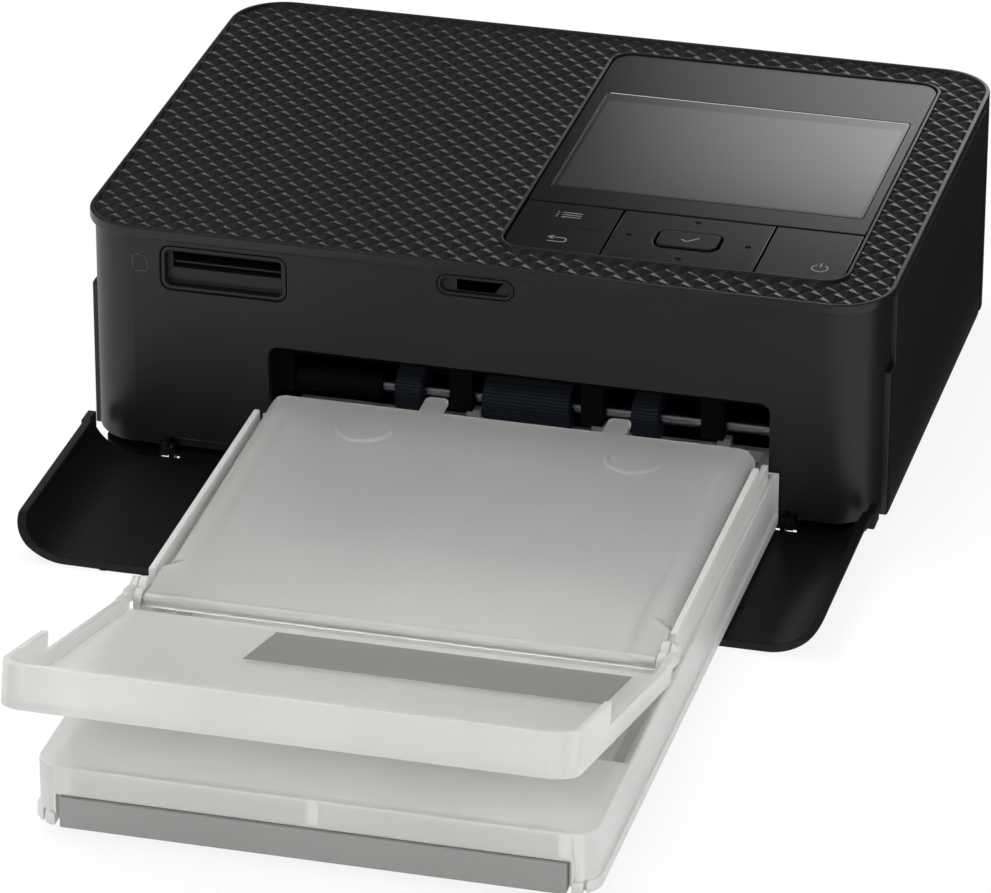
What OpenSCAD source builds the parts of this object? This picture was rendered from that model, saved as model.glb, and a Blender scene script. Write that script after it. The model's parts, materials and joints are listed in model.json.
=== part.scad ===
// Compact photo printer with its paper tray pushed in, the tray's outer flap raised
// and the front cover folded down on the table.
// Millimetres. +X to the right, +Y to the back, +Z up. The origin is on the table,
// under the middle of the whole footprint.

/* [Printer body] */
// Width of the top plate
plate_w = 182.2; // [170:0.1:200]
// Depth of the top plate
plate_d = 133; // [125:0.5:150]
// Height from the table to the top plate
body_h = 57.6; // [56:0.1:64]
// Corner radius of the top plate, seen from above
corner_r = 12.7; // [10:0.1:16]
// Height of the smooth band round the top plate
band_h = 2.4; // [2:0.1:4]
// Thickness of the outer panels
wall = 2; // [1.6:0.1:2.4]
// How far the front panel is set back behind the top plate
front_inset = 1.2; // [0.8:0.1:1.6]
// Height of the panels' lower edge above the table
skirt_z = 3.2; // [2.8:0.1:4]

/* [Control panel] */
// Width of the control panel
panel_w = 77.1; // [74:0.1:80]
// Depth of the control panel
panel_d = 110.6; // [104:0.1:112]
// Margin between the control panel and the right side of the body
panel_margin = 11.8; // [11:0.1:14]
// Depth of the display glass
glass_d = 54.2; // [50:0.1:56]
// How far a key goes down
key_travel = 0.7; // [0.4:0.1:0.9]

/* [Front opening] */
// Height of the top of the tray opening
mouth_top = 31.5; // [30:0.1:34]

/* [Front cover] */
// Reach of the lowered cover in front of its hinge
cover_reach = 53.6; // [48:0.1:54]
// Thickness of the cover
cover_t = 2; // [1.6:0.1:2.2]
// Height of the curled ends above the table
cover_curl = 9.4; // [8:0.1:10]

/* [Paper tray] */
// Distance of the paper's middle from the middle of the body
mid_x = 10.2; // [8:0.1:12]
// Width of the paper
paper_w = 100; // [99:0.5:102]
// Length of the paper
paper_l = 148; // [146:0.5:150]
// Height of the tray's underside
tray_z = 3.2; // [3:0.1:3.6]
// Tilt of the raised flap
flap_tilt = 15; // [10:0.5:18]

/* [Paper drive] */
// Radius of the rubber pick-up rollers
roller_r = 5; // [4.6:0.1:5.2]
// Gear module
gear_module = 0.8; // [0.8]
// Teeth on the pick-up shaft's gear
pickup_teeth = 14; // [14]
// Teeth on the transport and platen gears
line_teeth = 24; // [24]
// Teeth on the idlers
idler_teeth = 20; // [20]
// Teeth on the motor pinion
pinion_teeth = 12; // [12]

/* [Hidden] */
$fn = 64;

// Faces of the body
side_x = plate_w / 2;
front_y = -plate_d / 2;
back_y = plate_d / 2;
plate_z = body_h - band_h;
panel_front = front_y + front_inset;
// Tray: the sides leave room for the guides beside the paper, and the neck goes into the body
tray_w = paper_w + 17.3;
tray_x = mid_x - tray_w / 2;
tray_x1 = tray_x + tray_w;
tray_neck = panel_front - 0.7;
tray_back = panel_front + 20.8;
tray_front = tray_neck - paper_l - 18.4;
// The neck passes through the mouth of the body, so it is narrower than the tray
neck_x0 = tray_x + 2.75;
neck_x1 = tray_x1 - 3.95;
deck_len = 66.4;
lid_y = tray_front + deck_len;
// Hinge of the raised flap, and the flap's size along and below its hinge
flap_y = lid_y + 3.6;
flap_z = 21.3;
flap_below = 5;
flap_len = 91.5;
flap_front = flap_y - flap_len * cos(flap_tilt) - flap_below * sin(flap_tilt);
// Places the printer so that the whole footprint is centred on the origin
row_y = -(back_y + flap_front) / 2;
// Where the side panels begin, below and inside the finger notch
side_start = front_y + 10.5;
notch_start = front_y + 15;
notch_z = plate_z - 17.2;
// Where the side panels end
side_end = back_y - 16.5;
eps = 0.01;
fit_gap = 0.25;
// Running clearance round a shaft, on the radius
run_gap = 0.06;

// Panel, display and keys
panel_x = side_x - panel_margin - panel_w;
panel_y = front_y + corner_r;
panel_x1 = panel_x + panel_w;
panel_y1 = panel_y + panel_d;
panel_top = body_h - 0.4;
panel_t = 1.8;
panel_r = 5;
glass_x = panel_x + 3.5;
glass_y = panel_y + 33.6;
glass_w = panel_w - 6;
// The keys fill the front of the panel's opening
key_gap = 0.45;
keys_y = panel_y + key_gap;
keys_d = 24.65;
key_split = 0.5;
key_top = panel_top - 0.1;
key_t = 1.5;
menu_x = panel_x + key_gap;
menu_w = 21.85;
nav_x = menu_x + menu_w + key_split;
nav_w = 34;
power_x = nav_x + nav_w + key_split;
power_w = panel_x1 - key_gap - power_x;
nav_mid = nav_x + nav_w / 2;
key_mid_y = keys_y + keys_d / 2;
power_mid = [power_x + power_w / 2, key_mid_y];
ok_w = 13.6;
ok_d = 8.2;
board_z = plate_z - 5;
board_t = 1.2;
board_x0 = panel_x + 2.1;
board_x1 = panel_x1 - 0.6;
board_y0 = panel_y - 6.6;
board_y1 = glass_y - 3;
// Screw places of the key board
key_screw_x = [panel_x + 8.1, panel_x1 - 7.1];
key_screw_y = [board_y0 + 3, board_y1 - 2];
// Screw places of the top plate, left of the control panel
plate_screw_x = [-side_x + 7.1, panel_x - 31.9];
plate_screw_y = [-40, 40];
dome_h = 0.5;
pivot_z = plate_z - 0.8;

// Front cover hinge
cover_y = panel_front - 0.3;
cover_z = 3.6;
cover_bottom = 0.3;
cover_half_w = side_x - 0.5;
lug_x = tray_x1 + 0.5;
lug_w = 1.2;
cover_pin_r = 0.8;
// Bearing lugs of the pan stand outside the cover's lugs
pan_lug_w = 1.6;
pan_lug_x = lug_x + lug_w + 0.2 + pan_lug_w / 2;
pan_lug_r = 1.25;

// Side door hinge
door_y = side_end + 0.9;
door_x = side_x - wall / 2;
door_pin_r = 0.5;
door_lug_top = skirt_z + 1.2;

// Chassis plates, beside the tray's neck
left_frame_x = neck_x0 - 4.5;
right_frame_x = neck_x1 + 4.1;
frame_t = 1.2;
frame_x0 = left_frame_x + frame_t;

// Shaft places, as [y, z]
pickup_at = [panel_front + 9.3, 21];
transport_at = [pickup_at[0] + 28, 24];
platen_at = [transport_at[0] + 30, 24];
supply_at = [platen_at[0] - 16, plate_z - 15.2];
takeup_at = [platen_at[0] + 24, plate_z - 16.2];
// Bars that tie the ribbon cartridge together, with the print head's arms under them
tie_rise = 5.3;
tie_z = supply_at[1] + tie_rise;
arm_top = tie_z - 2.1;
arm_h = 6.6;
head_pivot_at = [platen_at[0] + 12, arm_top - arm_h / 2 + 0.1];
shaft_r = 1.5;
gear_w = 4;
gear_x = left_frame_x - gear_w - 1.8;

// Tray
tray_bottom_t = 1.6;
tray_wall = 1.6;
low_wall_z = 15.7;
tall_wall_z = 23;
tall_from = flap_y + 5.4;
tall_to = tray_neck - 13;
front_deck_z = 16.5;
lid_z = 20.6;
lid_top_back = 24.3;
flap_t = 1.6;
flap_wall = 1.5;
lip_h = 4.5;
flap_wall_h = 9.2;
// Upper side walls stand inside the flap's walls, so that the flap can close over them
step_in = flap_wall + 0.3;
upper_wall = 1.4;
lug_t = 1.8;
tray_floor_z = 5.5;
floor_top = tray_floor_z + tray_bottom_t;

black = [0.09, 0.09, 0.095];
dark = [0.05, 0.05, 0.055];
frosted = [0.86, 0.87, 0.88, 0.7];
steel = [0.72, 0.73, 0.75];
green = [0.07, 0.25, 0.14];
rubber_blue = [0.12, 0.14, 0.2];
ivory = [0.85, 0.84, 0.78];

module in_row() translate([0, row_y, 0]) children();

// A block between two opposite corners
module block(lo, hi) translate(lo) cube(hi - lo);

// A rod along X, from x0 to x1, at the place [y, z]
module rod_x(x0, x1, at, r) translate([x0, at[0], at[1]]) rotate([0, 90, 0]) cylinder(h = x1 - x0, r = r);

// A rod along Z at the place [x, y]
module rod_z(at, z0, z1, r) translate([at[0], at[1], z0]) cylinder(h = z1 - z0, r = r);

// A rectangle with round corners, its lower left corner at the origin
module round_rect(w, d, r) {
    translate([r, 0]) square([w - 2 * r, d]);
    translate([0, r]) square([w, d - 2 * r]);
    for (x = [r, w - r], y = [r, d - r])
        translate([x, y]) circle(r = r);
}

module round_block(at, size, r)
    translate(at) linear_extrude(height = size[2]) round_rect(size[0], size[1], r);

// A round-cornered hole or insert in the front face, as x, z, width, height
module front_block(x, z, w, h, r, y0, y1)
    translate([x, y1, z]) rotate([90, 0, 0]) linear_extrude(height = y1 - y0) round_rect(w, h, r);

// The body's outline, drawn in by some distance, between two heights
module body_slab(inset, z0, z1)
    round_block([-side_x + inset, front_y + inset, z0],
        [plate_w - 2 * inset, plate_d - 2 * inset, z1 - z0], corner_r - inset);

// A wall of the body between two insets
module body_ring(outer, inner, z0, z1) difference() {
    body_slab(outer, z0, z1);
    body_slab(inner, z0 - 1, z1 + 1);
}

// One side panel with its finger notch at the front, on the left
module side_skin(y_end) intersection() {
    body_ring(0, wall, skirt_z, plate_z);
    difference() {
        block([-side_x - 1, side_start, 0], [-side_x + 12, y_end, plate_z + 1]);
        block([-side_x - 2, side_start - 1, notch_z], [-side_x + 13, notch_start, plate_z + 2]);
    }
}

// Gear outline with straight-sided teeth, tooth 0 on the first axis
function gear_r(teeth) = gear_module * teeth / 2;
module gear_outline(teeth, turn) {
    pitch_r = gear_r(teeth);
    root_r = pitch_r - 1.2 * gear_module;
    tip_r = pitch_r + 0.9 * gear_module;
    step = 360 / teeth;
    rotate(turn) polygon([for (k = [0 : teeth - 1])
        for (p = [[root_r, -0.30], [pitch_r, -0.205], [tip_r, -0.1],
                [tip_r, 0.1], [pitch_r, 0.205], [root_r, 0.30]])
            [p[0] * cos((k + p[1]) * step), p[0] * sin((k + p[1]) * step)]]);
}

// A gear across the X axis with its bore, at the place [y, z]
module gear_x_axis(teeth, turn, at, x0, width, bore) translate([x0, at[0], at[1]])
    rotate([90, 0, 90]) linear_extrude(height = width) difference() {
        gear_outline(teeth, turn);
        circle(r = bore);
    }

// Direction from one place to another, and the turn that puts a second gear in mesh with a first
function heading(a, b) = atan2(b[1] - a[1], b[0] - a[0]);
function distance(a, b) = norm(b - a);
function mesh_turn(turn_a, teeth_a, a, teeth_b, b) =
    heading(a, b) + 180 + (heading(a, b) - turn_a) * teeth_a / teeth_b + 180 / teeth_b;

// The place that lies r1 from a and r2 from b, on the upper side
function apex(a, b, r1, r2) = let (d = distance(a, b), along = (d * d + r1 * r1 - r2 * r2) / (2 * d),
    up = sqrt(r1 * r1 - along * along), t = heading(a, b))
    [a[0] + along * cos(t) - up * sin(t), a[1] + along * sin(t) + up * cos(t)];

mesh_play = 0.12;
idler_front_at = apex(pickup_at, transport_at, gear_r(pickup_teeth) + gear_r(idler_teeth) + mesh_play,
    gear_r(idler_teeth) + gear_r(line_teeth) + mesh_play);
idler_back_at = apex(transport_at, platen_at, gear_r(line_teeth) + gear_r(idler_teeth) + mesh_play,
    gear_r(idler_teeth) + gear_r(line_teeth) + mesh_play);
motor_reach = gear_r(line_teeth) + gear_r(pinion_teeth) + mesh_play;
motor_angle = 40;
motor_at = [platen_at[0] + motor_reach * cos(motor_angle), platen_at[1] + motor_reach * sin(motor_angle)];
pickup_turn = 0;
idler_front_turn = mesh_turn(pickup_turn, pickup_teeth, pickup_at, idler_teeth, idler_front_at);
transport_turn = mesh_turn(idler_front_turn, idler_teeth, idler_front_at, line_teeth, transport_at);
idler_back_turn = mesh_turn(transport_turn, line_teeth, transport_at, idler_teeth, idler_back_at);
platen_turn = mesh_turn(idler_back_turn, idler_teeth, idler_back_at, line_teeth, platen_at);
pinion_turn = mesh_turn(platen_turn, line_teeth, platen_at, pinion_teeth, motor_at);

// Floor of the body, with hinge lugs for the front cover, foot sockets and chassis bosses
foot_x = side_x - 17.1;
foot_front = front_y + 18.5;
foot_back = back_y - 12.5;
foot_r = 5;
pan_t = 2;
pan_y0 = panel_front + 2.7;
module base_pan() in_row() color(dark) difference() {
    union() {
        difference() {
            body_slab(wall + 1.4, skirt_z, skirt_z + pan_t);
            block([-side_x, front_y - 1, 0], [side_x, pan_y0, 10]);
        }
        pan_lip();
        for (s = [-1, 1])
            block([s * pan_lug_x - pan_lug_w / 2, cover_y - pan_lug_r, cover_z - pan_lug_r],
                [s * pan_lug_x + pan_lug_w / 2, pan_y0 + 0.1, skirt_z + pan_t]);
        block([side_x - 5, door_y - 0.9, skirt_z], [door_x, door_y + 0.9, door_lug_top]);
        rod_z([door_x, door_y], skirt_z, door_lug_top, 0.9);
    }
    for (x = [-foot_x, foot_x], y = [foot_front, foot_back])
        rod_z([x, y], 0, skirt_z + 0.9, foot_r + 0.15);
    for (s = [-1, 1])
        rod_x(s * pan_lug_x - 2, s * pan_lug_x + 2, [cover_y, cover_z], cover_pin_r);
    rod_z([door_x, door_y], 0, 10, door_pin_r);
    for (k = [0 : 5])
        block([-side_x + 7.1 + 5 * k, 20, 0], [-side_x + 9.1 + 5 * k, 46, 10]);
}

// Upstand round the pan that the side panels are clipped to, behind the front panel's inner skin
lip_y0 = notch_start + 4.5;
module pan_lip() intersection() {
    body_ring(wall + 0.2, wall + 1.6, skirt_z, skirt_z + 6);
    block([-side_x, lip_y0 + 0.2, 0], [side_x, back_y, 20]);
}

module rubber_feet() in_row() color(dark)
    for (x = [-foot_x, foot_x], y = [foot_front, foot_back])
        rod_z([x, y], 0, skirt_z + 0.9, foot_r);

// Card recess and catch window places in the front panel, as x, z, width, height
card_at = [-side_x + 19.1, plate_z - 12.4];
card_size = [29.1, 10.7];
pill_w = 17.6;
pill_h = 5;
pill_z = plate_z - 6;
panel_foot = skirt_z + 1.1;
mouth_x = neck_x0 - 1.6;
mouth_w = neck_x1 - neck_x0 + 2.9;
front_cut = panel_front + 7.3;
module front_panel() in_row() color(black) difference() {
    union() {
        intersection() {
            body_ring(front_inset, front_inset + wall, panel_foot, plate_z);
            difference() {
                block([-side_x, front_y - 1, 0], [side_x, notch_start - 0.3, plate_z]);
                for (s = [-1, 1])
                    translate([s * side_x, 0, 0])
                        block([-10, side_start - 0.3, -1], [10, 0, notch_z]);
            }
        }
        intersection() {
            body_ring(wall, wall + 1.6, skirt_z + pan_t, plate_z);
            block([-side_x, front_y, 0], [side_x, lip_y0, plate_z]);
        }
    }
    front_block(card_at[0], card_at[1], card_size[0], card_size[1], 2.4, front_y - 1, front_cut);
    front_block(-pill_w / 2, pill_z, pill_w, pill_h, pill_h / 2 - eps, front_y - 1, front_cut);
    front_block(mouth_x, -6, mouth_w, mouth_top + 6, 2.3, front_y - 1, front_cut);
    block([-lug_x - lug_w - 0.4, front_y - 1, 0], [lug_x + lug_w + 0.4, panel_front + 5.3, cover_z + 2.6]);
    for (s = [-1, 1])
        block([s * pan_lug_x - pan_lug_w / 2 - 0.4, front_y - 1, 0],
            [s * pan_lug_x + pan_lug_w / 2 + 0.4, panel_front + 5.3, skirt_z + pan_t + 0.2]);
}

module left_side_panel() in_row() color(black) {
    side_skin(side_end);
    for (y = [side_start + 26, 10, side_end - 10])
        block([-side_x + wall, y, 20], [-side_x + wall + 3, y + 1.5, 46]);
}

// Back wall, with the paper slot, vents and socket openings
roll_half = paper_w / 2 + 4;
slot_x0 = mid_x - roll_half;
slot_x1 = mid_x + roll_half;
slot_z0 = 22;
slot_z1 = 30;
jack_at = [right_frame_x + frame_t + 4.8, 15];
jack_r = 3.4;
usb_x = -side_x + 13.1;
usb_z = 34;
usb_w = 9.4;
usb_h = 3.6;
vent_w = 1.6;
vent_h = plate_z - slot_z1 - 13.2;
vent_step = 5;
module rear_panel() in_row() color(black) difference() {
    intersection() {
        body_ring(0, wall, skirt_z, plate_z);
        union() {
            block([-side_x - 1, side_end + 0.2, 0], [0, back_y + 1, plate_z]);
            block([-1, door_y + 1.25, 0], [side_x + 1, back_y + 1, plate_z]);
        }
    }
    front_block(slot_x0, slot_z0, slot_x1 - slot_x0, slot_z1 - slot_z0, 2, back_y - 6, back_y + 1);
    translate([jack_at[0] , back_y + 1, jack_at[1]]) rotate([90, 0, 0]) cylinder(h = 8, r = jack_r + 0.3);
    front_block(usb_x, usb_z, usb_w, usb_h, 1.7, back_y - 6, back_y + 1);
    for (k = [0 : 9])
        front_block(slot_x0 + 3.5 + vent_step * k, slot_z1 + 8, vent_w, vent_h, vent_w / 2 - eps,
            back_y - 6, back_y + 1);
}

// The moulded field of the top plate lies a little below its smooth rim
field_sink = 0.45;
rim_w = 1.1;
surround_w = 0.8;
module field_cut() difference() {
    body_slab(rim_w, body_h - field_sink, body_h + 1);
    round_block([panel_x - surround_w, panel_y - surround_w, plate_z],
        [panel_w + 2 * surround_w, panel_d + 2 * surround_w, 10], panel_r + surround_w);
}

module top_plate() in_row() color(black) difference() {
    union() {
        difference() {
            body_slab(0, plate_z, body_h);
            body_slab(4.4, plate_z - 1, plate_z + 0.8);
        }
        for (x = key_screw_x)
            rod_z([x, key_screw_y[0]], board_z + board_t, body_h - 1, 1.8);
        for (x = plate_screw_x, y = plate_screw_y)
            rod_z([x, y], plate_z - 6, body_h - 1, 2.4);
        round_block([panel_x - 1.6, panel_y - 1.6, plate_z], [panel_w + 3.2, panel_d + 3.2, 1], panel_r + 1.5);
    }
    round_block([panel_x, panel_y, plate_z - 1], [panel_w, panel_d, 10], panel_r);
    for (x = key_screw_x)
        rod_z([x, key_screw_y[0]], board_z, body_h - 1.4, 0.7);
    for (x = plate_screw_x, y = plate_screw_y)
        rod_z([x, y], plate_z - 7, body_h - 1.4, 1);
    rod_z([door_x, door_y], plate_z - 1, plate_z + 1.2, door_pin_r);
    field_cut();
}

// Clip plate behind the display, which hooks under the top plate
clip_y = glass_y + glass_d - 3.4;
module control_panel() in_row() color(dark) difference() {
    union() {
        round_block([panel_x + fit_gap, panel_y + fit_gap, panel_top - panel_t],
            [panel_w - 2 * fit_gap, panel_d - 2 * fit_gap, panel_t], panel_r - fit_gap);
        for (x = key_screw_x)
            rod_z([x, key_screw_y[1]], board_z + board_t, panel_top - 1, 1.8);
        round_block([panel_x - 1, clip_y, plate_z - 1.2], [panel_w + 2, panel_y1 - 2 - clip_y, 1.2], 1);
        block([panel_x + 2, clip_y, plate_z - 0.5], [panel_x1 - 2, panel_y1 - 4, panel_top - 1]);
    }
    round_block([glass_x, glass_y, panel_top - 1], [glass_w, glass_d, 3], 1);
    round_block([glass_x + 1, glass_y + 1, plate_z - 3], [glass_w - 2, glass_d - 2, 6], 1);
    block([panel_x - 1, panel_y - 1, plate_z - 3], [panel_x1 + 1, keys_y + keys_d + key_split, body_h]);
    for (x = key_screw_x)
        rod_z([x, key_screw_y[1]], board_z, panel_top - 1.2, 0.7);
}

module display_glass() in_row() color([0.2, 0.21, 0.22])
    round_block([glass_x + 0.1, glass_y + 0.1, panel_top - 1], [glass_w - 0.2, glass_d - 0.2, 1], 0.9);

module display_module() in_row() color(steel)
    block([glass_x - 1.2, glass_y - 1.6, plate_z - 3.2],
        [glass_x + glass_w + 1.2, glass_y + glass_d - 6, panel_top - panel_t - eps]);

// A key cap, cut from the panel's outline, with a stem down to its switch
module key_cap(x, w, stems, clear) {
    translate([0, 0, key_top - key_t]) linear_extrude(height = key_t) intersection() {
        translate([panel_x + key_gap, keys_y])
            round_rect(panel_w - 2 * key_gap, panel_d - 2 * key_gap, panel_r - key_gap);
        translate([x, keys_y]) square([w, keys_d]);
    }
    for (s = stems)
        rod_z(s, board_z + board_t + clear, key_top - 0.5, 1.2);
}

menu_stem_y = 6.5;
module menu_key() in_row() color(dark) {
    difference() {
        key_cap(menu_x, menu_w,
            [for (s = [-1, 1]) [menu_x + menu_w / 2, key_mid_y + s * menu_stem_y]], dome_h + 0.1);
        block([menu_x + 2.9, key_mid_y - 0.2, key_top - 0.3], [menu_x + menu_w - 2.7, key_mid_y + 0.2, body_h]);
    }
    rod_x(menu_x + 4, menu_x + menu_w - 4, [key_mid_y, pivot_z], 0.8);
    block([menu_x + 6, key_mid_y - 0.6, pivot_z], [menu_x + menu_w - 6, key_mid_y + 0.6, key_top - 0.7]);
}

// Cross-shaped carrier that lets the four-way pad tilt both ways
gimbal_z = plate_z - 1;
module nav_gimbal() in_row() color(ivory) {
    rod_x(nav_mid - 14.6, nav_mid - 10, [key_mid_y, gimbal_z], 0.6);
    rod_x(nav_mid + 10, nav_mid + 14.6, [key_mid_y, gimbal_z], 0.6);
    translate([nav_mid, key_mid_y, gimbal_z - 0.7]) linear_extrude(height = 1.4) difference() {
        square([21, 17], center = true);
        square([17.6, 14.2], center = true);
    }
    for (s = [-1, 1])
        translate([nav_mid, key_mid_y + s * 8, gimbal_z]) rotate([s > 0 ? -90 : 90, 0, 0])
            cylinder(h = 2.4, r = 0.6);
}

nav_stem = 10.4;
// Dimples that mark the four directions
dimple_x = 13.4;
dimple_y = 9.8;
dimple_r = 0.7;
module nav_pad() in_row() color(dark) {
    difference() {
        key_cap(nav_x, nav_w,
            [[nav_mid - 15.4, key_mid_y + 5], [nav_mid + 15.4, key_mid_y + 5],
             [nav_mid - 4, key_mid_y + nav_stem], [nav_mid + 4, key_mid_y - nav_stem]], dome_h + 0.8);
        round_block([nav_mid - ok_w / 2 - 0.7, key_mid_y - ok_d / 2 - 0.7, key_top - 4],
            [ok_w + 1.4, ok_d + 1.4, 6], 2.9);
        for (d = [[-dimple_x, 0], [dimple_x, 0], [0, -dimple_y], [0, dimple_y]])
            rod_z([nav_mid + d[0], key_mid_y + d[1]], key_top - 0.3, body_h, dimple_r);
    }
    for (s = [-1, 1]) difference() {
        block([nav_mid - 1.6, key_mid_y + s * 9.7 - 0.5, gimbal_z - 1.3],
            [nav_mid + 1.6, key_mid_y + s * 9.7 + 0.5, key_top - key_t + 0.2]);
        translate([nav_mid, key_mid_y + s * 9.7 + 2, gimbal_z]) rotate([90, 0, 0])
            cylinder(h = 4, r = 0.6 + run_gap);
    }
}

module ok_key() in_row() color(dark) {
    round_block([nav_mid - ok_w / 2, key_mid_y - ok_d / 2, key_top - key_t], [ok_w, ok_d, key_t + 0.3], 2.2);
    rod_z([nav_mid, key_mid_y], board_z + board_t + dome_h + key_travel + 0.05, key_top - 0.5, 1.6);
}

module power_key() in_row() color(dark)
    key_cap(power_x, power_w, [power_mid], dome_h + key_travel + 0.05);

module key_board() in_row() color(green) {
    difference() {
        block([board_x0, board_y0, board_z], [board_x1, board_y1, board_z + board_t]);
        for (x = key_screw_x, y = key_screw_y)
            rod_z([x, y], board_z - 1, board_z + board_t + 1, 0.8);
    }
    for (s = [-1, 1])
        rod_z([menu_x + menu_w / 2, key_mid_y + s * menu_stem_y],
            board_z + board_t, board_z + board_t + dome_h - 0.4, 2.2);
    for (at = [[nav_mid, key_mid_y], power_mid])
        rod_z(at, board_z + board_t, board_z + board_t + dome_h, 2);
    for (s = [-1, 1])
        difference() {
            block([nav_mid + s * 13.4 - 0.8, key_mid_y - 2, board_z + board_t],
                [nav_mid + s * 13.4 + 0.8, key_mid_y + 2, gimbal_z + 1]);
            rod_x(nav_mid + s * 13.4 - 2, nav_mid + s * 13.4 + 2, [key_mid_y, gimbal_z], 0.6 + run_gap);
        }
    for (x = [menu_x + 2.6, menu_x + menu_w - 2.6])
        difference() {
            block([x - 0.7, key_mid_y - 1.8, board_z + board_t], [x + 0.7, key_mid_y + 1.8, pivot_z - 1.2]);
            rod_x(x - 2, x + 2, [key_mid_y, pivot_z], 0.8 + run_gap);
        }
}

// Recess with the memory card slot
slit_x0 = card_at[0] + 2.4;
slit_x1 = card_at[0] + card_size[0] - 1.9;
slit_z0 = card_at[1] + 4.8;
slit_z1 = slit_z0 + 3.6;
// Height of the card's underside in the slit, over the lip that guides it
card_z = slit_z0 + 1.3;
module card_slot_insert() in_row() color(dark) {
    difference() {
        front_block(card_at[0] + 0.15, card_at[1] + 0.15, card_size[0] - 0.3, card_size[1] - 0.3, 2.25,
            panel_front + 0.2, panel_front + 8);
        front_block(card_at[0] + 1.1, card_at[1] + 1.1, card_size[0] - 2.2, card_size[1] - 2.2, 1.4,
            panel_front - 1, panel_front + 2.2);
        block([slit_x0, front_y, slit_z0], [slit_x1, panel_front + 12, slit_z1]);
    }
    block([slit_x0 - 0.5, panel_front + 3.4, card_z - 0.7], [slit_x1 + 0.5, panel_front + 7.8, card_z]);
    rod_x(slit_x0 - 0.5, slit_x1 + 0.5, [panel_front + 3.4, card_z - 0.35], 0.35);
}

module card_socket() in_row() color(steel) difference() {
    block([slit_x0 - 1, panel_front + 8, card_z - 0.8], [slit_x1 + 1, panel_front + 36, slit_z1 + 0.8]);
    block([slit_x0, panel_front + 7, card_z], [slit_x1, panel_front + 34, slit_z1]);
}

// Window that takes the front cover's hooks
module catch_window() in_row() color(dark) difference() {
    front_block(-pill_w / 2 + 0.15, pill_z + 0.15, pill_w - 0.3, pill_h - 0.3, pill_h / 2 - 0.2,
        panel_front + 0.1, panel_front + 4.3);
    front_block(-pill_w / 2 + 0.9, pill_z + 0.9, pill_w - 1.8, pill_h - 1.8, pill_h / 2 - 1,
        panel_front - 1, panel_front + 1.2);
    front_block(-4.2, pill_z + 1.1, 8.4, pill_h - 2.2, 0.6, panel_front - 1, panel_front + 4);
}

// Full-width cover that lies on the table, its ends curled up to wrap the body's corners
cover_y0 = cover_y - cover_reach;
cover_y1 = cover_y - 1.3;
curl_round = 6.9;
wrap_z = cover_curl - 3.9;
module cover_section(half, r, bottom, top) intersection() {
    translate([-half, bottom]) round_rect(2 * half, 40, r);
    translate([-half - 1, bottom - 1]) square([2 * half + 2, top - bottom + 1]);
}
module cover_profile() difference() {
    cover_section(cover_half_w, corner_r, cover_bottom, cover_curl);
    cover_section(cover_half_w - cover_t, corner_r - cover_t, cover_bottom + cover_t, cover_curl + 1);
}
module front_cover() in_row() color(black) difference() {
    union() {
        translate([0, cover_y1, 0]) rotate([90, 0, 0])
            linear_extrude(height = cover_y1 - cover_y0) cover_profile();
        for (s = [-1, 1]) {
            block([s * cover_half_w - (s > 0 ? cover_t : 0), cover_y1 - 1, wrap_z],
                [s * cover_half_w + (s > 0 ? 0 : cover_t), pan_y0, cover_curl]);
            block([s * (lug_x - 10.2) - 9, cover_y1 - 1, cover_bottom],
                [s * (lug_x - 10.2) + 9, cover_y + 0.4, cover_bottom + cover_t]);
            block([s * 67.5 - 2.3, cover_y0 + 14.4, cover_bottom + 1],
                [s * 67.5 + 2.3, cover_y0 + 14.8, cover_bottom + cover_t + 0.3]);
            rod_z([s * (cover_half_w - 6), cover_y0 + 17.6],
                cover_bottom + 1, cover_bottom + cover_t + 0.5, 0.4);
        }
        for (x = [-69.4, -60.2])
            block([x - 0.7, cover_y0 + 0.2, 0.05], [x + 0.7, cover_y0 + 2, cover_bottom + 0.5]);
    }
    difference() {
        block([-side_x, cover_y0 - 1, cover_curl - curl_round],
            [side_x, cover_y0 + curl_round, cover_curl + 1]);
        rod_x(-side_x - 1, side_x + 1, [cover_y0 + curl_round, cover_curl - curl_round], curl_round + 0.1);
    }
}

// Hinge lugs on the back edge of the cover
module cover_lugs() in_row() color(black) for (s = [-1, 1]) {
    x = s * (lug_x + lug_w / 2);
    difference() {
        union() {
            block([x - lug_w / 2, cover_y1, cover_bottom], [x + lug_w / 2, cover_y + 1.5, cover_z]);
            rod_x(x - lug_w / 2, x + lug_w / 2, [cover_y, cover_z], 1.6);
        }
        block([x - lug_w, cover_y1 - 1, cover_bottom], [x + lug_w, cover_y1, cover_z + 2]);
        rod_x(x - lug_w, x + lug_w, [cover_y, cover_z], cover_pin_r + run_gap);
    }
}

module cover_pins() in_row() color(steel)
    for (s = [-1, 1])
        rod_x(s * (lug_x + 1.5) - 1.5, s * (lug_x + 1.5) + 1.5, [cover_y, cover_z], cover_pin_r);

// Right side panel, hinged at its back edge
module ribbon_door() in_row() color(black) difference() {
    union() {
        mirror([1, 0, 0]) side_skin(door_y);
        rod_z([door_x, door_y], skirt_z + 0.4, plate_z - 0.4, 1);
        block([side_x - wall - 2.4, notch_start + 7.5, 16], [side_x - wall, notch_start + 8.9, 26]);
        for (y = [side_start + 36, door_y - 20.9])
            block([side_x - wall - 2, y, 12], [side_x - wall, y + 1.4, 46]);
    }
    rod_z([door_x, door_y], skirt_z - 1, skirt_z + 6.4, door_pin_r + run_gap);
    rod_z([door_x, door_y], plate_z - 6.4, plate_z + 1, door_pin_r + run_gap);
    block([side_x - wall - 6, door_y - 1.3, skirt_z - 1], [side_x + 1, door_y + 3, door_lug_top + 0.3]);
    block([side_x - wall - 6, door_y - 1.3, plate_z - 0.3], [side_x + 1, door_y + 3, plate_z + 1]);
}

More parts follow.
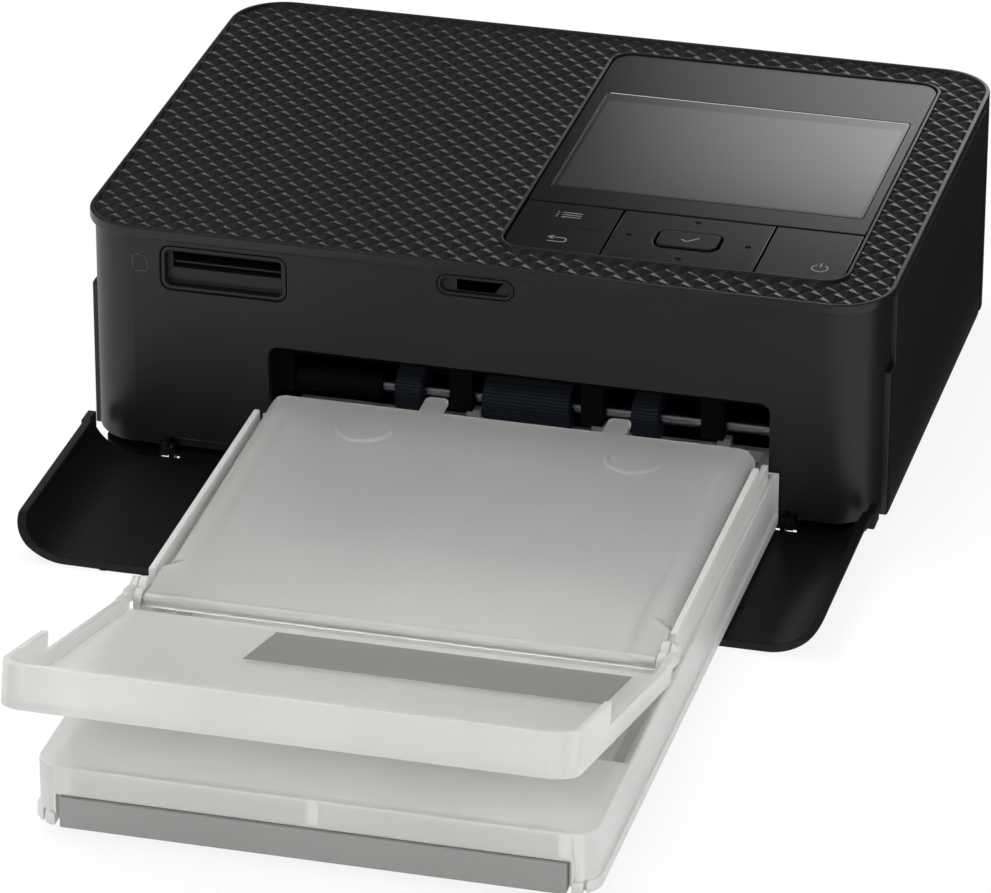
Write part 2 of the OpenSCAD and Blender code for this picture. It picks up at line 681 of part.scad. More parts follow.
module door_pins() in_row() color(steel) {
    rod_z([door_x, door_y], skirt_z, skirt_z + 6.2, door_pin_r);
    rod_z([door_x, door_y], plate_z - 6.2, plate_z + 1.2, door_pin_r);
}

// Plug-in ribbon cartridge: a shell with two spools, its grip towards the side door
ribbon_x0 = frame_x0 + 3.5;
ribbon_end = right_frame_x + 2;
grip_x1 = side_x - wall - 5.1;
supply_r = 9;
takeup_r = 6.5;
core_r = 4;
hub_r = 2;
module spool_cradle(at, r) difference() {
    union() {
        rod_x(ribbon_x0, ribbon_end + 1, at, r + 2.2);
        block([ribbon_end, at[0] - r, at[1] - r], [ribbon_end + 3, at[0] + r, at[1] + r]);
    }
    rod_x(ribbon_x0 + 1.6, ribbon_end - 0.6, at, r + 1);
    rod_x(ribbon_x0 - 1, grip_x1, at, hub_r + 0.1);
    block([ribbon_x0 + 1.6, at[0] - r - 4, at[1] - r - 4], [ribbon_end - 0.6, at[0] + r + 4, at[1] - r * 0.35]);
}
module ribbon_shell() in_row() color([0.16, 0.16, 0.17]) {
    spool_cradle(supply_at, supply_r);
    spool_cradle(takeup_at, takeup_r);
    difference() {
        block([ribbon_end, supply_at[0] - 6, supply_at[1] - 8],
            [ribbon_end + 2, takeup_at[0] + 6, takeup_at[1] + 7]);
        for (at = [supply_at, takeup_at])
            rod_x(0, grip_x1, at, hub_r + 0.1);
    }
    block([ribbon_end + 1.5, platen_at[0] - 2, supply_at[1] - 4],
        [grip_x1, platen_at[0] + 8, supply_at[1] - 1.5]);
    for (x = [ribbon_x0, ribbon_end - 2])
        block([x, supply_at[0] + supply_r - 3, tie_z], [x + 1.6, takeup_at[0] - 2, tie_z + 2]);
}

module spool(at, r) {
    rod_x(ribbon_x0 + 3, ribbon_end - 5, at, r);
    rod_x(ribbon_x0 - 1.5, ribbon_end + 2, at, hub_r);
}
module supply_spool() in_row() color([0.55, 0.1, 0.25]) spool(supply_at, supply_r);
module takeup_spool() in_row() color([0.2, 0.3, 0.5]) spool(takeup_at, core_r);

// Ink film from spool to spool, pressed between the print head and the platen
film_t = 0.2;
platen_r = 5;
head_y = platen_at[0];
film_z = platen_at[1] + platen_r + 0.2;
function film_end(at, r, side) = let (d = [at[0] - head_y - side * 1.4, at[1] - film_z], l = norm(d),
    turn = atan2(d[1], side * d[0]) - asin(r / l), run = sqrt(l * l - r * r))
    [head_y + side * (1.4 + run * cos(turn)), film_z + run * sin(turn)];
module ribbon_film() in_row() color([0.35, 0.1, 0.2]) {
    a = film_end(supply_at, supply_r + 0.3 + film_t, -1);
    b = film_end(takeup_at, core_r + 0.3 + film_t, 1);
    translate([ribbon_x0 + 3, 0, 0]) rotate([90, 0, 90]) linear_extrude(height = ribbon_end - 8 - ribbon_x0)
        polygon([a, [head_y - 1.4, film_z], [head_y + 1.4, film_z], b, b + [0, film_t],
            [head_y + 1.4, film_z + film_t], [head_y - 1.4, film_z + film_t], a + [0, film_t]]);
}

// Steel side frames with the bearing bores
pinch_at = transport_at + [0, 7.2];
pinch_pin_r = 1;
pivot_r = 1;
frame_y0 = panel_front + 4.8;
frame_y1 = back_y - 6.5;
frame_top = board_z - 0.6;
module frame_holes(x0) {
    for (at = [pickup_at, transport_at, platen_at])
        rod_x(x0 - 1, x0 + frame_t + 1, at, shaft_r + run_gap);
    rod_x(x0 - 1, x0 + frame_t + 1, pinch_at, pinch_pin_r + run_gap);
    rod_x(x0 - 1, x0 + frame_t + 1, head_pivot_at, pivot_r);
}
module frame_plate(x0) block([x0, frame_y0, skirt_z + pan_t], [x0 + frame_t, frame_y1, frame_top]);
module chassis_left() in_row() color(steel) difference() {
    frame_plate(left_frame_x);
    frame_holes(left_frame_x);
    for (at = [supply_at, takeup_at])
        rod_x(left_frame_x - 1, left_frame_x + 2, at, hub_r + 3);
    for (at = [idler_front_at, idler_back_at])
        rod_x(left_frame_x - 1, left_frame_x + 2, at, idler_bore);
    for (at = motor_posts)
        rod_x(left_frame_x - 1, left_frame_x + 2, at, motor_post_r);
    block([left_frame_x - 1, frame_y0 - 1, card_at[1] - 1.3], [left_frame_x + 2, board_y1, body_h]);
}
module chassis_right() in_row() color(steel) difference() {
    frame_plate(right_frame_x);
    frame_holes(right_frame_x);
    rod_x(right_frame_x - 1, right_frame_x + 2, supply_at, supply_r + 3);
    rod_x(right_frame_x - 1, right_frame_x + 2, takeup_at, takeup_r + 3);
    block([right_frame_x - 1, supply_at[0], supply_at[1] - 9],
        [right_frame_x + 2, takeup_at[0], takeup_at[1] + 9]);
    block([right_frame_x - 1, frame_y0 - 1, board_z - 3.2], [right_frame_x + 2, board_y1, body_h]);
}
beam_z = frame_top - 5.6;
module chassis_beam() in_row() color(steel) {
    block([frame_x0, frame_y1 - 18, beam_z], [right_frame_x, frame_y1 - 2, beam_z + 1.2]);
    block([frame_x0, frame_y1 - 3.2, beam_z - 8], [right_frame_x, frame_y1 - 2, beam_z]);
    for (x = [left_frame_x - 14, right_frame_x + frame_t])
        block([x, 30, skirt_z + pan_t], [x + 14, 40, skirt_z + pan_t + 1.2]);
}

// Black cross member over the tray mouth, with the blocks that carry the pick-up shaft
small_roller_w = 6;
wide_roller_w = 19.8;
small_roller_off = 26.9;
bearing_w = 5.2;
// Fixed sleeve round the shaft, left of the rollers
sleeve_r = 3;
// Distances of the bearing blocks' left faces from the paper's middle
bearing_off = [-wide_roller_w / 2 - 2.4 - bearing_w, wide_roller_w / 2 + 2.4,
    small_roller_off + small_roller_w / 2 + 9.6];
bearing_z = pickup_at[1] - 2.4;
module feed_frame() in_row() color(dark) difference() {
    union() {
        block([frame_x0, panel_front + 3.7, mouth_top - 2.3],
            [right_frame_x, pickup_at[0] + 5, mouth_top - 0.3]);
        for (x = bearing_off)
            block([mid_x + x, pickup_at[0] - 4, bearing_z],
                [mid_x + x + bearing_w, pickup_at[0] + 3, mouth_top - 1.5]);
        block([frame_x0, pickup_at[0] - 4, bearing_z], [frame_x0 + 6, pickup_at[0] + 3, mouth_top - 1.5]);
        block([frame_x0, panel_front + 3.3, 8], [frame_x0 + 1.4, pickup_at[0] + 6, mouth_top - 1.5]);
        rod_x(frame_x0 + 5, mid_x - small_roller_off - small_roller_w / 2 - 3.5, pickup_at, sleeve_r);
    }
    rod_x(left_frame_x, right_frame_x, pickup_at, shaft_r + run_gap);
}

module pickup_shaft() in_row() color(steel)
    rod_x(gear_x - 1, right_frame_x + 3, pickup_at, shaft_r);

module roller_sleeve(x0, x1, at, r, bore) difference() {
    rod_x(x0, x1, at, r);
    rod_x(x0 - 1, x1 + 1, at, bore);
}
module pickup_rollers() in_row() color(rubber_blue) {
    roller_sleeve(mid_x - wide_roller_w / 2, mid_x + wide_roller_w / 2, pickup_at, roller_r, shaft_r);
    for (s = [-1, 1])
        roller_sleeve(mid_x + s * small_roller_off - small_roller_w / 2,
            mid_x + s * small_roller_off + small_roller_w / 2, pickup_at, roller_r, shaft_r);
}

module pickup_gear() in_row() color(ivory)
    gear_x_axis(pickup_teeth, pickup_turn, pickup_at, gear_x, gear_w, shaft_r);

transport_r = 4;
module transport_roller() in_row() color(steel) {
    rod_x(gear_x - 1, right_frame_x + 3, transport_at, shaft_r);
    rod_x(slot_x0, slot_x1, transport_at, transport_r);
}
module transport_gear() in_row() color(ivory)
    gear_x_axis(line_teeth, transport_turn, transport_at, gear_x, gear_w, shaft_r);
module pinch_roller() in_row() color(dark) {
    rod_x(left_frame_x - 1, right_frame_x + frame_t + 1, pinch_at, pinch_pin_r);
    rod_x(head_x0, head_x1, pinch_at, 3);
}

module platen_roller() in_row() color(dark) {
    rod_x(gear_x - 1, right_frame_x + 3, platen_at, shaft_r);
    rod_x(slot_x0, slot_x1, platen_at, platen_r);
}
module platen_gear() in_row() color(ivory)
    gear_x_axis(line_teeth, platen_turn, platen_at, gear_x, gear_w, shaft_r);

idler_bore = 1;
module idler_front() in_row() color(ivory)
    gear_x_axis(idler_teeth, idler_front_turn, idler_front_at, gear_x, gear_w, idler_bore + run_gap);
module idler_back() in_row() color(ivory)
    gear_x_axis(idler_teeth, idler_back_turn, idler_back_at, gear_x, gear_w, idler_bore + run_gap);
module gear_posts() in_row() color(steel)
    for (at = [idler_front_at, idler_back_at]) {
        rod_x(gear_x - 1, left_frame_x + frame_t, at, idler_bore);
        rod_x(gear_x - 1.8, gear_x - 0.4, at, 2.2);
        rod_x(gear_x + gear_w + 0.3, left_frame_x, at, 2.2);
    }

// Stepper motor outside the gears, held to the left frame by two posts
motor_r = 7;
motor_len = 15;
motor_x = gear_x - 1.4;
motor_post_r = 1;
motor_posts = [[motor_at[0] + 9.6, motor_at[1] + 2], [motor_at[0] - 1, motor_at[1] + 10]];
module drive_motor() in_row() color(steel) difference() {
    union() {
        rod_x(motor_x - motor_len, motor_x, motor_at, motor_r);
        rod_x(motor_x, motor_x + 1, motor_at, 3);
        for (at = motor_posts) {
            rod_x(motor_x - 1.2, motor_x, at, 2.6);
            rod_x(motor_x - 1, left_frame_x, at, 1.6);
            rod_x(left_frame_x, frame_x0, at, motor_post_r);
            block([motor_x - 1.2, min(at[0], motor_at[0]), min(at[1], motor_at[1]) - 2],
                [motor_x, max(at[0], motor_at[0]), max(at[1], motor_at[1]) + 2]);
        }
    }
    rod_x(motor_x - 10, motor_x + 2, motor_at, 1 + run_gap);
}
module motor_pinion() in_row() color(ivory) {
    gear_x_axis(pinion_teeth, pinion_turn, motor_at, gear_x, gear_w, 1);
    rod_x(motor_x - 8, gear_x + gear_w + 0.6, motor_at, 1);
}

// Arms and heat sink that press the print head on the platen
head_x0 = slot_x0 + 2;
head_x1 = slot_x1 - 2;
head_z = film_z + 3.8;
arm_t = 1.2;
module head_pivot() in_row() color(steel)
    rod_x(left_frame_x, right_frame_x + frame_t, head_pivot_at, pivot_r);
module head_arm() in_row() color(steel) difference() {
    union() {
        for (x = [head_x0 - 2.4 - arm_t, head_x1 + 2.4])
            block([x, head_y - 4, arm_top - 0.2 - arm_h], [x + arm_t, head_pivot_at[0] + 3, arm_top - 0.2]);
        block([head_x0 - 2.4 - arm_t, head_y - 4, arm_top - arm_t],
            [head_x1 + 2.4 + arm_t, head_y + 3.5, arm_top]);
    }
    rod_x(head_x0 - 5, head_x1 + 5, head_pivot_at, pivot_r + run_gap);
}
module thermal_head() in_row() color([0.78, 0.79, 0.8]) {
    block([head_x0, head_y - 3.8, head_z], [head_x1, head_y + 3.4, head_z + 2]);
    for (k = [0 : 3])
        block([head_x0, head_y - 3.4 + 2 * k, head_z + 1.9], [head_x1, head_y - 2.6 + 2 * k, arm_top - arm_t]);
    block([head_x0 + 1, head_y - 0.8, film_z + film_t + 0.2], [head_x1 - 1, head_y + 0.8, head_z + 0.1]);
}

// Chute under the paper path from the pick-up to the back slot
guide_x0 = frame_x0;
guide_x1 = right_frame_x;
guide_top = slot_z0 - 3;
module paper_guide() in_row() color(dark) difference() {
    union() {
        block([guide_x0, transport_at[0] - 12, guide_top - 2], [guide_x1, frame_y1, guide_top]);
        block([guide_x0, platen_at[0] + 10, guide_top], [guide_x1, frame_y1, slot_z0]);
        for (x = [guide_x0, guide_x1 - 3], y = [tray_back + 22.5, frame_y1 - 10])
            block([x, y, skirt_z + pan_t], [x + 3, y + 8, guide_top - 1]);
    }
    rod_x(left_frame_x, right_frame_x + 1, transport_at, transport_r + 0.6);
    rod_x(left_frame_x, right_frame_x + 1, platen_at, platen_r + 0.6);
}

main_x0 = -side_x + wall + 3.1;
main_x1 = gear_x - 5.5;
main_z = 9;
main_t = 1.4;
module main_board() in_row() color(green) {
    difference() {
        block([main_x0, -24, main_z], [main_x1, frame_y1 - 5, main_z + main_t]);
        rod_z([plate_screw_x[0], plate_screw_y[1]], 0, 20, 1);
    }
    for (y = [-18, 6, 30])
        block([main_x0 + 4, y, main_z + main_t], [main_x0 + 16, y + 12, main_z + main_t + 2.2]);
    for (y = [-20, frame_y1 - 8])
        block([main_x0 + 6, y, skirt_z + pan_t], [main_x0 + 10, y + 3, main_z]);
}

// Barrel socket for the power supply and the data socket, both at the back
module power_jack() in_row() color(dark) difference() {
    union() {
        translate([jack_at[0], back_y - 0.3, jack_at[1]]) rotate([90, 0, 0]) cylinder(h = 12, r = jack_r);
        block([jack_at[0] - 4, back_y - 14, skirt_z + pan_t],
            [jack_at[0] + 4, back_y - wall - 1.75, jack_at[1] + 4.5]);
    }
    translate([jack_at[0], back_y + 1, jack_at[1]]) rotate([90, 0, 0]) cylinder(h = 11, r = 2.75);
}
module usb_socket() in_row() color(steel) difference() {
    front_block(usb_x + 0.2, usb_z + 0.2, usb_w - 0.4, usb_h - 0.4, 1.5, back_y - 9, back_y - 0.4);
    front_block(usb_x + 0.7, usb_z + 0.7, usb_w - 1.4, usb_h - 1.4, 1, back_y - 8, back_y + 1);
}

// Tray: a shallow box with a low deck at the front and a neck that goes into the body
neck_top = low_wall_z - 5.2;
well_top = tall_wall_z + 10;
well_x0 = mid_x - paper_w / 2 - 1;
well_x1 = mid_x + paper_w / 2 + 1;
well_y1 = tray_back - 2.4;
well_y0 = well_y1 - paper_l - 2;
deck_y = lid_y - 5;
deck_t = 1.4;
guide_h = 5.5;
front_r = 6;
// Strip set into the front of the tray
strip_half = tray_w / 2 - 6.25;
strip_z = 9.9;
strip_t = 3;
// Skirt round the tray's foot
skirt_top = tray_z + 2.6;
skirt_out = 0.7;
finger_w = 3.2;
module tray_shape(inset) translate([tray_x + inset, tray_front + inset])
    round_rect(tray_w - 2 * inset, tray_neck - tray_front - 2 * inset, front_r - inset);
module square_back(inset) translate([tray_x + inset, tray_neck - 20])
    square([tray_w - 2 * inset, 20 - inset]);

// A block against each side of the tray: distance from the side, thickness, and the y and z spans
module both_sides(from_side, t, ys, zs) for (x = [tray_x + from_side, tray_x1 - from_side - t])
    block([x, ys[0], zs[0]], [x + t, ys[1], zs[1]]);

// Ears inside the side walls that carry the pins of the lid and of the flap
module hinge_ears() {
    both_sides(1, lug_t + step_in - 1, [lid_y - 2.2, flap_y + 2.4], [tray_floor_z, low_wall_z]);
    both_sides(step_in, lug_t, [lid_y - 2.2, flap_y + 2.4], [low_wall_z - 1, lid_z]);
    for (x = [tray_x + step_in, tray_x1 - step_in - lug_t]) {
        rod_x(x, x + lug_t, [flap_y, flap_z], 2.4);
        rod_x(x, x + lug_t, [lid_y, lid_z], 2.2);
    }
}

module tray_base() in_row() color(frosted) difference() {
    union() {
        translate([0, 0, tray_z]) linear_extrude(height = low_wall_z - tray_z) {
            tray_shape(0);
            square_back(0);
        }
        intersection() {
            translate([0, 0, tray_z]) linear_extrude(height = front_deck_z - tray_z) tray_shape(0);
            block([tray_x, tray_front, 0], [tray_x1, deck_y, 30]);
        }
        for (x = [-15.5, 13.2, 42])
            block([mid_x + x - finger_w / 2, well_y1, neck_top - 1],
                [mid_x + x + finger_w / 2, tray_back, neck_top + 2.2]);
        both_sides(step_in, upper_wall, [tall_from, tall_to], [low_wall_z - 1, tall_wall_z]);
        block([tray_x1 - step_in - upper_wall, tall_to - 1, low_wall_z - 1],
            [tray_x1 - step_in, tall_to + 9.5, low_wall_z + 3.5]);
        block([neck_x0, tray_neck - 1, tray_floor_z], [neck_x1, tray_back, neck_top]);
        hinge_ears();
    }
    // Paper space, between the guide walls and the stepped side walls
    difference() {
        union() {
            block([tray_x + tray_wall, well_y0 - 4, floor_top], [tray_x1 - tray_wall, tray_neck - 1, well_top]);
            block([well_x0, tray_neck - 5, floor_top], [well_x1, well_y1, well_top]);
        }
        both_sides(1, step_in + upper_wall - 1, [tall_from, tall_to + 9.5], [12, well_top]);
        hinge_ears();
        for (x = [well_x0 - 1.4, well_x1])
            block([x, well_y0 - 2, tray_floor_z], [x + 1.4, tray_neck, floor_top + guide_h]);
        block([tray_x, well_y0 - 5, tray_floor_z], [tray_x1, well_y0, floor_top + guide_h]);
    }
    // Underside
    difference() {
        translate([0, 0, tray_z - 1]) linear_extrude(height = tray_floor_z - tray_z + 1) {
            tray_shape(tray_wall);
            square_back(tray_wall);
        }
        block([tray_x, tray_front, 0], [tray_x1, tray_front + 4, 30]);
    }
    block([tray_x + 4, tray_front + 4, 0], [tray_x1 - 4, well_y0 - 6, front_deck_z - deck_t]);
    // Walls above the skirt stand back from it
    translate([0, 0, skirt_top]) linear_extrude(height = low_wall_z) difference() {
        translate([tray_x - 1, tray_front - 1]) square([tray_w + 2, tray_neck - tray_front]);
        tray_shape(skirt_out);
        translate([tray_x + skirt_out, tray_neck - 20]) square([tray_w - 2 * skirt_out, 30]);
    }
    // Seat of the front strip, and the channel for its upper edge
    block([mid_x - strip_half - 1, tray_front - 1, 0],
        [mid_x + strip_half + 1, tray_front + strip_t + 0.1, strip_z + 0.2]);
    for (s = [-1, 1]) {
        block([min(s * 1.2, s * (strip_half - 2)) + mid_x, tray_front + 1.8, strip_z - 0.1],
            [max(s * 1.2, s * (strip_half - 2)) + mid_x, tray_front + strip_t + 0.1, strip_z + 5.2]);
        block([mid_x + s * (strip_half + 2.2) - 1, tray_front - 1, strip_z - 4],
            [mid_x + s * (strip_half + 2.2) + 1, tray_front + skirt_out + 0.5, front_deck_z + 1]);
        block([mid_x + s * (strip_half + 3.5) - 0.25, tray_front - 1, 0],
            [mid_x + s * (strip_half + 3.5) + 0.25, tray_front + 2.4, skirt_top + 0.1]);
    }
    for (x = [well_x0 - 3, well_x1 - 2])
        rod_x(x, x + 5, lift_at, lift_pin_r + run_gap);
    for (x = [tray_x, tray_x1 - step_in - lug_t - 2]) {
        rod_x(x, x + step_in + lug_t + 2, [flap_y, flap_z], hinge_pin_r);
        rod_x(x, x + step_in + lug_t + 2, [lid_y, lid_z], hinge_pin_r);
    }
}

module tray_strip() in_row() color([0.55, 0.56, 0.56]) {
    block([mid_x - strip_half, tray_front, tray_z - 0.2], [mid_x + strip_half, tray_front + strip_t, strip_z]);
    for (s = [-1, 1])
        block([min(s * 1.4, s * (strip_half - 2.2)) + mid_x, tray_front + 2, strip_z - 0.1],
            [max(s * 1.4, s * (strip_half - 2.2)) + mid_x, tray_front + strip_t, strip_z + 5]);
}

// Inner lid with its two thumb tabs at the back edge
hinge_pin_r = 0.8;
lid_w0 = tray_w - 2 * (step_in + lug_t + 0.3);
lid_w1 = paper_w + 0.4;
lid_t = 1.4;
lid_back = tray_neck - 7;
tab_mid = mid_x + 2.3;
tab_off = 20.7;
tab_w = 5.2;
lid_len = lid_back - lid_y;
lid_rise = atan2(lid_top_back - lid_z - lid_t, lid_len);
module lid_shape() {
    polygon([[mid_x - lid_w0 / 2, 0], [mid_x + lid_w0 / 2, 0], [mid_x + lid_w0 / 2, 12],
        [mid_x + lid_w1 / 2, 16], [mid_x + lid_w1 / 2, lid_len],
        [mid_x - lid_w1 / 2, lid_len], [mid_x - lid_w1 / 2, 16], [mid_x - lid_w0 / 2, 12]]);
    for (s = [-1, 1])
        translate([tab_mid + s * tab_off - tab_w / 2, lid_len - 13]) round_rect(tab_w, 20, 1.4);
}
module tray_lid() in_row() color(frosted) difference() {
    translate([0, lid_y, lid_z]) rotate([lid_rise, 0, 0]) union() {
        linear_extrude(height = lid_t) lid_shape();
        rod_x(mid_x - lid_w0 / 2, mid_x + lid_w0 / 2, [0, 0], lid_t + 0.2);
        for (s = [-1, 1])
            translate([mid_x + s * (lid_w1 / 2 - 2.2) - 0.6, 6, -2.2]) cube([1.2, lid_len - 9, 2.3]);
        for (s = [-1, 1])
            translate([mid_x + s * 30.2, lid_len - 11, 0]) difference() {
                cylinder(h = lid_t + 0.6, r = 6.5);
                cylinder(h = 9, r = 5.5, center = true);
                translate([-8, 0, -1]) cube([16, 9, 5]);
            }
    }
    for (s = [-1, 1])
        rod_x(mid_x + s * (lid_w0 / 2 - 2.2) - 2.5, mid_x + s * (lid_w0 / 2 - 2.2) + 2.5,
            [lid_y, lid_z], hinge_pin_r + run_gap);
}
pin_seat = tray_w / 2 - step_in - lug_t;
module lid_pins() in_row() color(frosted) for (s = [-1, 1])
    rod_x(mid_x + s * (pin_seat - 0.9) - 2.7, mid_x + s * (pin_seat - 0.9) + 2.7,
        [lid_y, lid_z], hinge_pin_r);

// Outer flap, tilted up at the front as a stop for the prints
module tray_flap() in_row() color(frosted)
    translate([0, flap_y, flap_z]) rotate([-flap_tilt, 0, 0]) flap_flat();
stub_len = 29.5;
rib_off = 38.5;
floor_start = 6;
module flap_flat() difference() {
    union() {
        translate([0, 0, -flap_below]) linear_extrude(height = flap_t) flap_shape(0, 0);
        difference() {
            translate([0, 0, -flap_below]) linear_extrude(height = flap_wall_h) flap_shape(0, 0);
            translate([0, 0, -flap_below - 1]) linear_extrude(height = 20) flap_shape(flap_wall, 1);
            block([tray_x - 1, -flap_len + stub_len, -flap_below + lip_h], [tray_x1 + 1, 1, 20]);
        }
        for (s = [-1, 1]) {
            block([mid_x + s * rib_off - 0.5, -flap_len + 0.5, -flap_below + 1],
                [mid_x + s * rib_off + 0.5, -flap_len + flap_wall + 0.5, flap_wall_h - flap_below - 0.6]);
            rod_z([mid_x + s * (tray_w / 2 - 3.4), -flap_len + 3.4],
                -flap_below + 1, flap_wall_h - flap_below - 1, 1);
        }
        for (x = [tray_x, tray_x1 - flap_wall]) {
            rod_x(x, x + flap_wall, [0, 0], 2.2);
            block([x, -floor_start - 1, -2.2], [x + flap_wall, 0, 0.8]);
            block([x, -floor_start - 6, -flap_below], [x + flap_wall, -floor_start, 0]);
        }
    }
    translate([0, 0, -flap_below - 1]) linear_extrude(height = 1.5)
        translate([mid_x - 27.6, -33]) round_rect(strip_half + 26.6, 20, 4);
    for (x = [tray_x, tray_x1])
        rod_x(x - 3, x + 3, [0, 0], hinge_pin_r + run_gap);
}
module flap_shape(inset, longer) {
    translate([tray_x + inset, -flap_len + inset])
        round_rect(tray_w - 2 * inset, flap_len - 12, front_r - inset);
    translate([tray_x + inset, -30]) square([tray_w - 2 * inset, 30 - floor_start + longer]);
}
module flap_pins() in_row() color(frosted) for (s = [-1, 1])
    rod_x(mid_x + s * (tray_w / 2 - 1.8) - 1.8, mid_x + s * (tray_w / 2 - 1.8) + 1.8,
        [flap_y, flap_z], hinge_pin_r);

// Plate under the paper that lifts the stack to the pick-up rollers
lift_pin_r = 0.8;
lift_len = 65.5;
lift_at = [well_y1 - lift_len, floor_top + 1.2];
module lift_plate() in_row() color(steel) {
    block([well_x0 + 0.5, lift_at[0], lift_at[1] - lift_pin_r],
        [well_x1 - 0.5, well_y1 - 1, lift_at[1]]);
    rod_x(well_x0 - 1.2, well_x1 + 1.2, lift_at, lift_pin_r);
}

base_pan();
rubber_feet();
front_panel();
left_side_panel();
rear_panel();
top_plate();
control_panel();
display_glass();
display_module();
menu_key();
nav_gimbal();
nav_pad();
ok_key();
power_key();
key_board();
card_slot_insert();
card_socket();
catch_window();
front_cover();
cover_lugs();
cover_pins();
ribbon_door();
door_pins();
ribbon_shell();
supply_spool();
takeup_spool();
ribbon_film();
chassis_left();
chassis_right();
chassis_beam();
feed_frame();
pickup_shaft();
pickup_rollers();
pickup_gear();
transport_roller();
transport_gear();
pinch_roller();
platen_roller();
platen_gear();
idler_front();
idler_back();
gear_posts();
drive_motor();
motor_pinion();
head_arm();
thermal_head();
head_pivot();
paper_guide();
main_board();
power_jack();
usb_socket();
tray_base();
tray_strip();
tray_lid();
lid_pins();
tray_flap();
flap_pins();
lift_plate();
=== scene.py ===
# %% [markdown]
# # A compact photo printer, dressed for its picture
# A black desktop photo printer stands with its frosted paper tray pushed in, the tray's outer flap
# raised, and its front cover folded down on the table. The solid model comes first, as a fixed
# frame in metres. This lesson then gives each part its finish, and models what a solid model leaves
# out: the field of small pyramids on the top plate, rounded edges, key signs and fluted rollers.

# %% Load the frame
import json
import math
import bpy
import bmesh
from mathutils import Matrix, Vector

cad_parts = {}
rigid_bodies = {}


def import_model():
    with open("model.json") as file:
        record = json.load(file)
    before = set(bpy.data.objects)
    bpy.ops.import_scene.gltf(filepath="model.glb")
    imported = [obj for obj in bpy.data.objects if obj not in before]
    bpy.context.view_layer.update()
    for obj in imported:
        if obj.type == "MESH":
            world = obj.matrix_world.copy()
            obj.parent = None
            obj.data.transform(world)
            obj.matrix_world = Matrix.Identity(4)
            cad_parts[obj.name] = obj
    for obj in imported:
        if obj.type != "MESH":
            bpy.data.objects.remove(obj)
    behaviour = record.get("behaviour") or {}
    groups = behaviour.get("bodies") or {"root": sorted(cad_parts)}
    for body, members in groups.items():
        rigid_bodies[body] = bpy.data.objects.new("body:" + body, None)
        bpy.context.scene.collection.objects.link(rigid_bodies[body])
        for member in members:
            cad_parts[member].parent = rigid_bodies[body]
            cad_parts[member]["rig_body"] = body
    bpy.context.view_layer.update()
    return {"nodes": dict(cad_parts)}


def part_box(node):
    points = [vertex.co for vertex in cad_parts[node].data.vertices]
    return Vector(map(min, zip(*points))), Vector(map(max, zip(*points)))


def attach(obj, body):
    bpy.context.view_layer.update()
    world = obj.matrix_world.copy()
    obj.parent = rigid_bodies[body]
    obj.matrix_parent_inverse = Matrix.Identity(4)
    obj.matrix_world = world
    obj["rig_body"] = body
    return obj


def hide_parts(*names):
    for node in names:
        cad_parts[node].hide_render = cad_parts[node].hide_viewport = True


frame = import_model()
nodes = frame["nodes"]
print("parts in the frame:", len(nodes))

# %% [markdown]
# ## Places in millimetres
# The printer was measured from the middle of its body, with the front at -Y. The frame is centred
# on the whole footprint instead, tray and all. One helper turns a place measured on the printer
# into the frame's metres, so every number below can be read as a ruler would give it.

# %% A place on the printer
plate_low, plate_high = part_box("top_plate")
MIDDLE_Y = (plate_low.y + plate_high.y) / 2


def at(x, y, z):
    """A place in mm from the middle of the printer's body, as metres in the frame."""
    return Vector((x / 1000, MIDDLE_Y + y / 1000, z / 1000))


print("the body's middle lies", round(1000 * MIDDLE_Y, 2), "mm behind the middle of the footprint")

# %% [markdown]
# ## The camera
# A long lens far away keeps the printer's edges almost parallel, as in a catalogue picture. The
# small shift slides the frame over the object without turning the camera.

# %% Camera
STAND = (328.39, -1310.70, 657.81)  # mm: in front of the printer, above it and to its right
TILT, PAN = 63.79, 14.79  # degrees: up from straight down, and round to the left
LENS, SENSOR = 236.96, 36  # mm
SHIFT_X, SHIFT_Y = 0.0225, -0.0441  # shares of the sensor's width

scene = bpy.context.scene
bpy.ops.object.camera_add(location=at(*STAND), rotation=(math.radians(TILT), 0, math.radians(PAN)))
camera = bpy.context.object
camera.data.lens = LENS
camera.data.sensor_width = SENSOR
camera.data.shift_x = SHIFT_X
camera.data.shift_y = SHIFT_Y
scene.camera = camera
scene.view_settings.view_transform = "Standard"
print("camera at", [round(v, 3) for v in camera.location])

# %% [markdown]
# ## Colours and nodes
# Colours are written as sRGB hex values, as a paint chart gives them, and turned to the linear
# values that the shader wants. One small function adds any node, with its settings and its links,
# which keeps each material readable as a recipe.

# %% Colour and node helpers
def colour(code):
    """An sRGB hex value such as #d8d9da, as a linear colour with alpha."""
    parts = [int(code[i:i + 2], 16) / 255 for i in (1, 3, 5)]
    linear = [p / 12.92 if p <= 0.04045 else ((p + 0.055) / 1.055) ** 2.4 for p in parts]
    return tuple(linear) + (1.0,)


def put(tree, kind, settings=None, links=None):
    """Add one node: settings are its own or its inputs' values, links are output sockets."""
    node = tree.nodes.new(kind)
    for key, value in (settings or {}).items():
        if isinstance(key, int) or key in node.inputs:
            node.inputs[key].default_value = value
        else:
            setattr(node, key, value)
    for key, socket in (links or {}).items():
        tree.links.new(socket, node.inputs[key])
    return node


def new_material(name):
    """An empty material: itself, its node tree and its output node."""
    material = bpy.data.materials.new(name)
    material.use_nodes = True
    material.node_tree.nodes.clear()
    return material, material.node_tree, put(material.node_tree, "ShaderNodeOutputMaterial")


WHITE = colour("#ffffff")
print("white in linear light:", WHITE)

# %% [markdown]
# ## A pale studio
# The background is white because the floor and the world show white to the camera, and not because
# of strong lamps. What glossy and clear surfaces see is white too, so they keep a bright
# surrounding. For all other light the floor is an ordinary pale board, so it keeps a soft shadow.

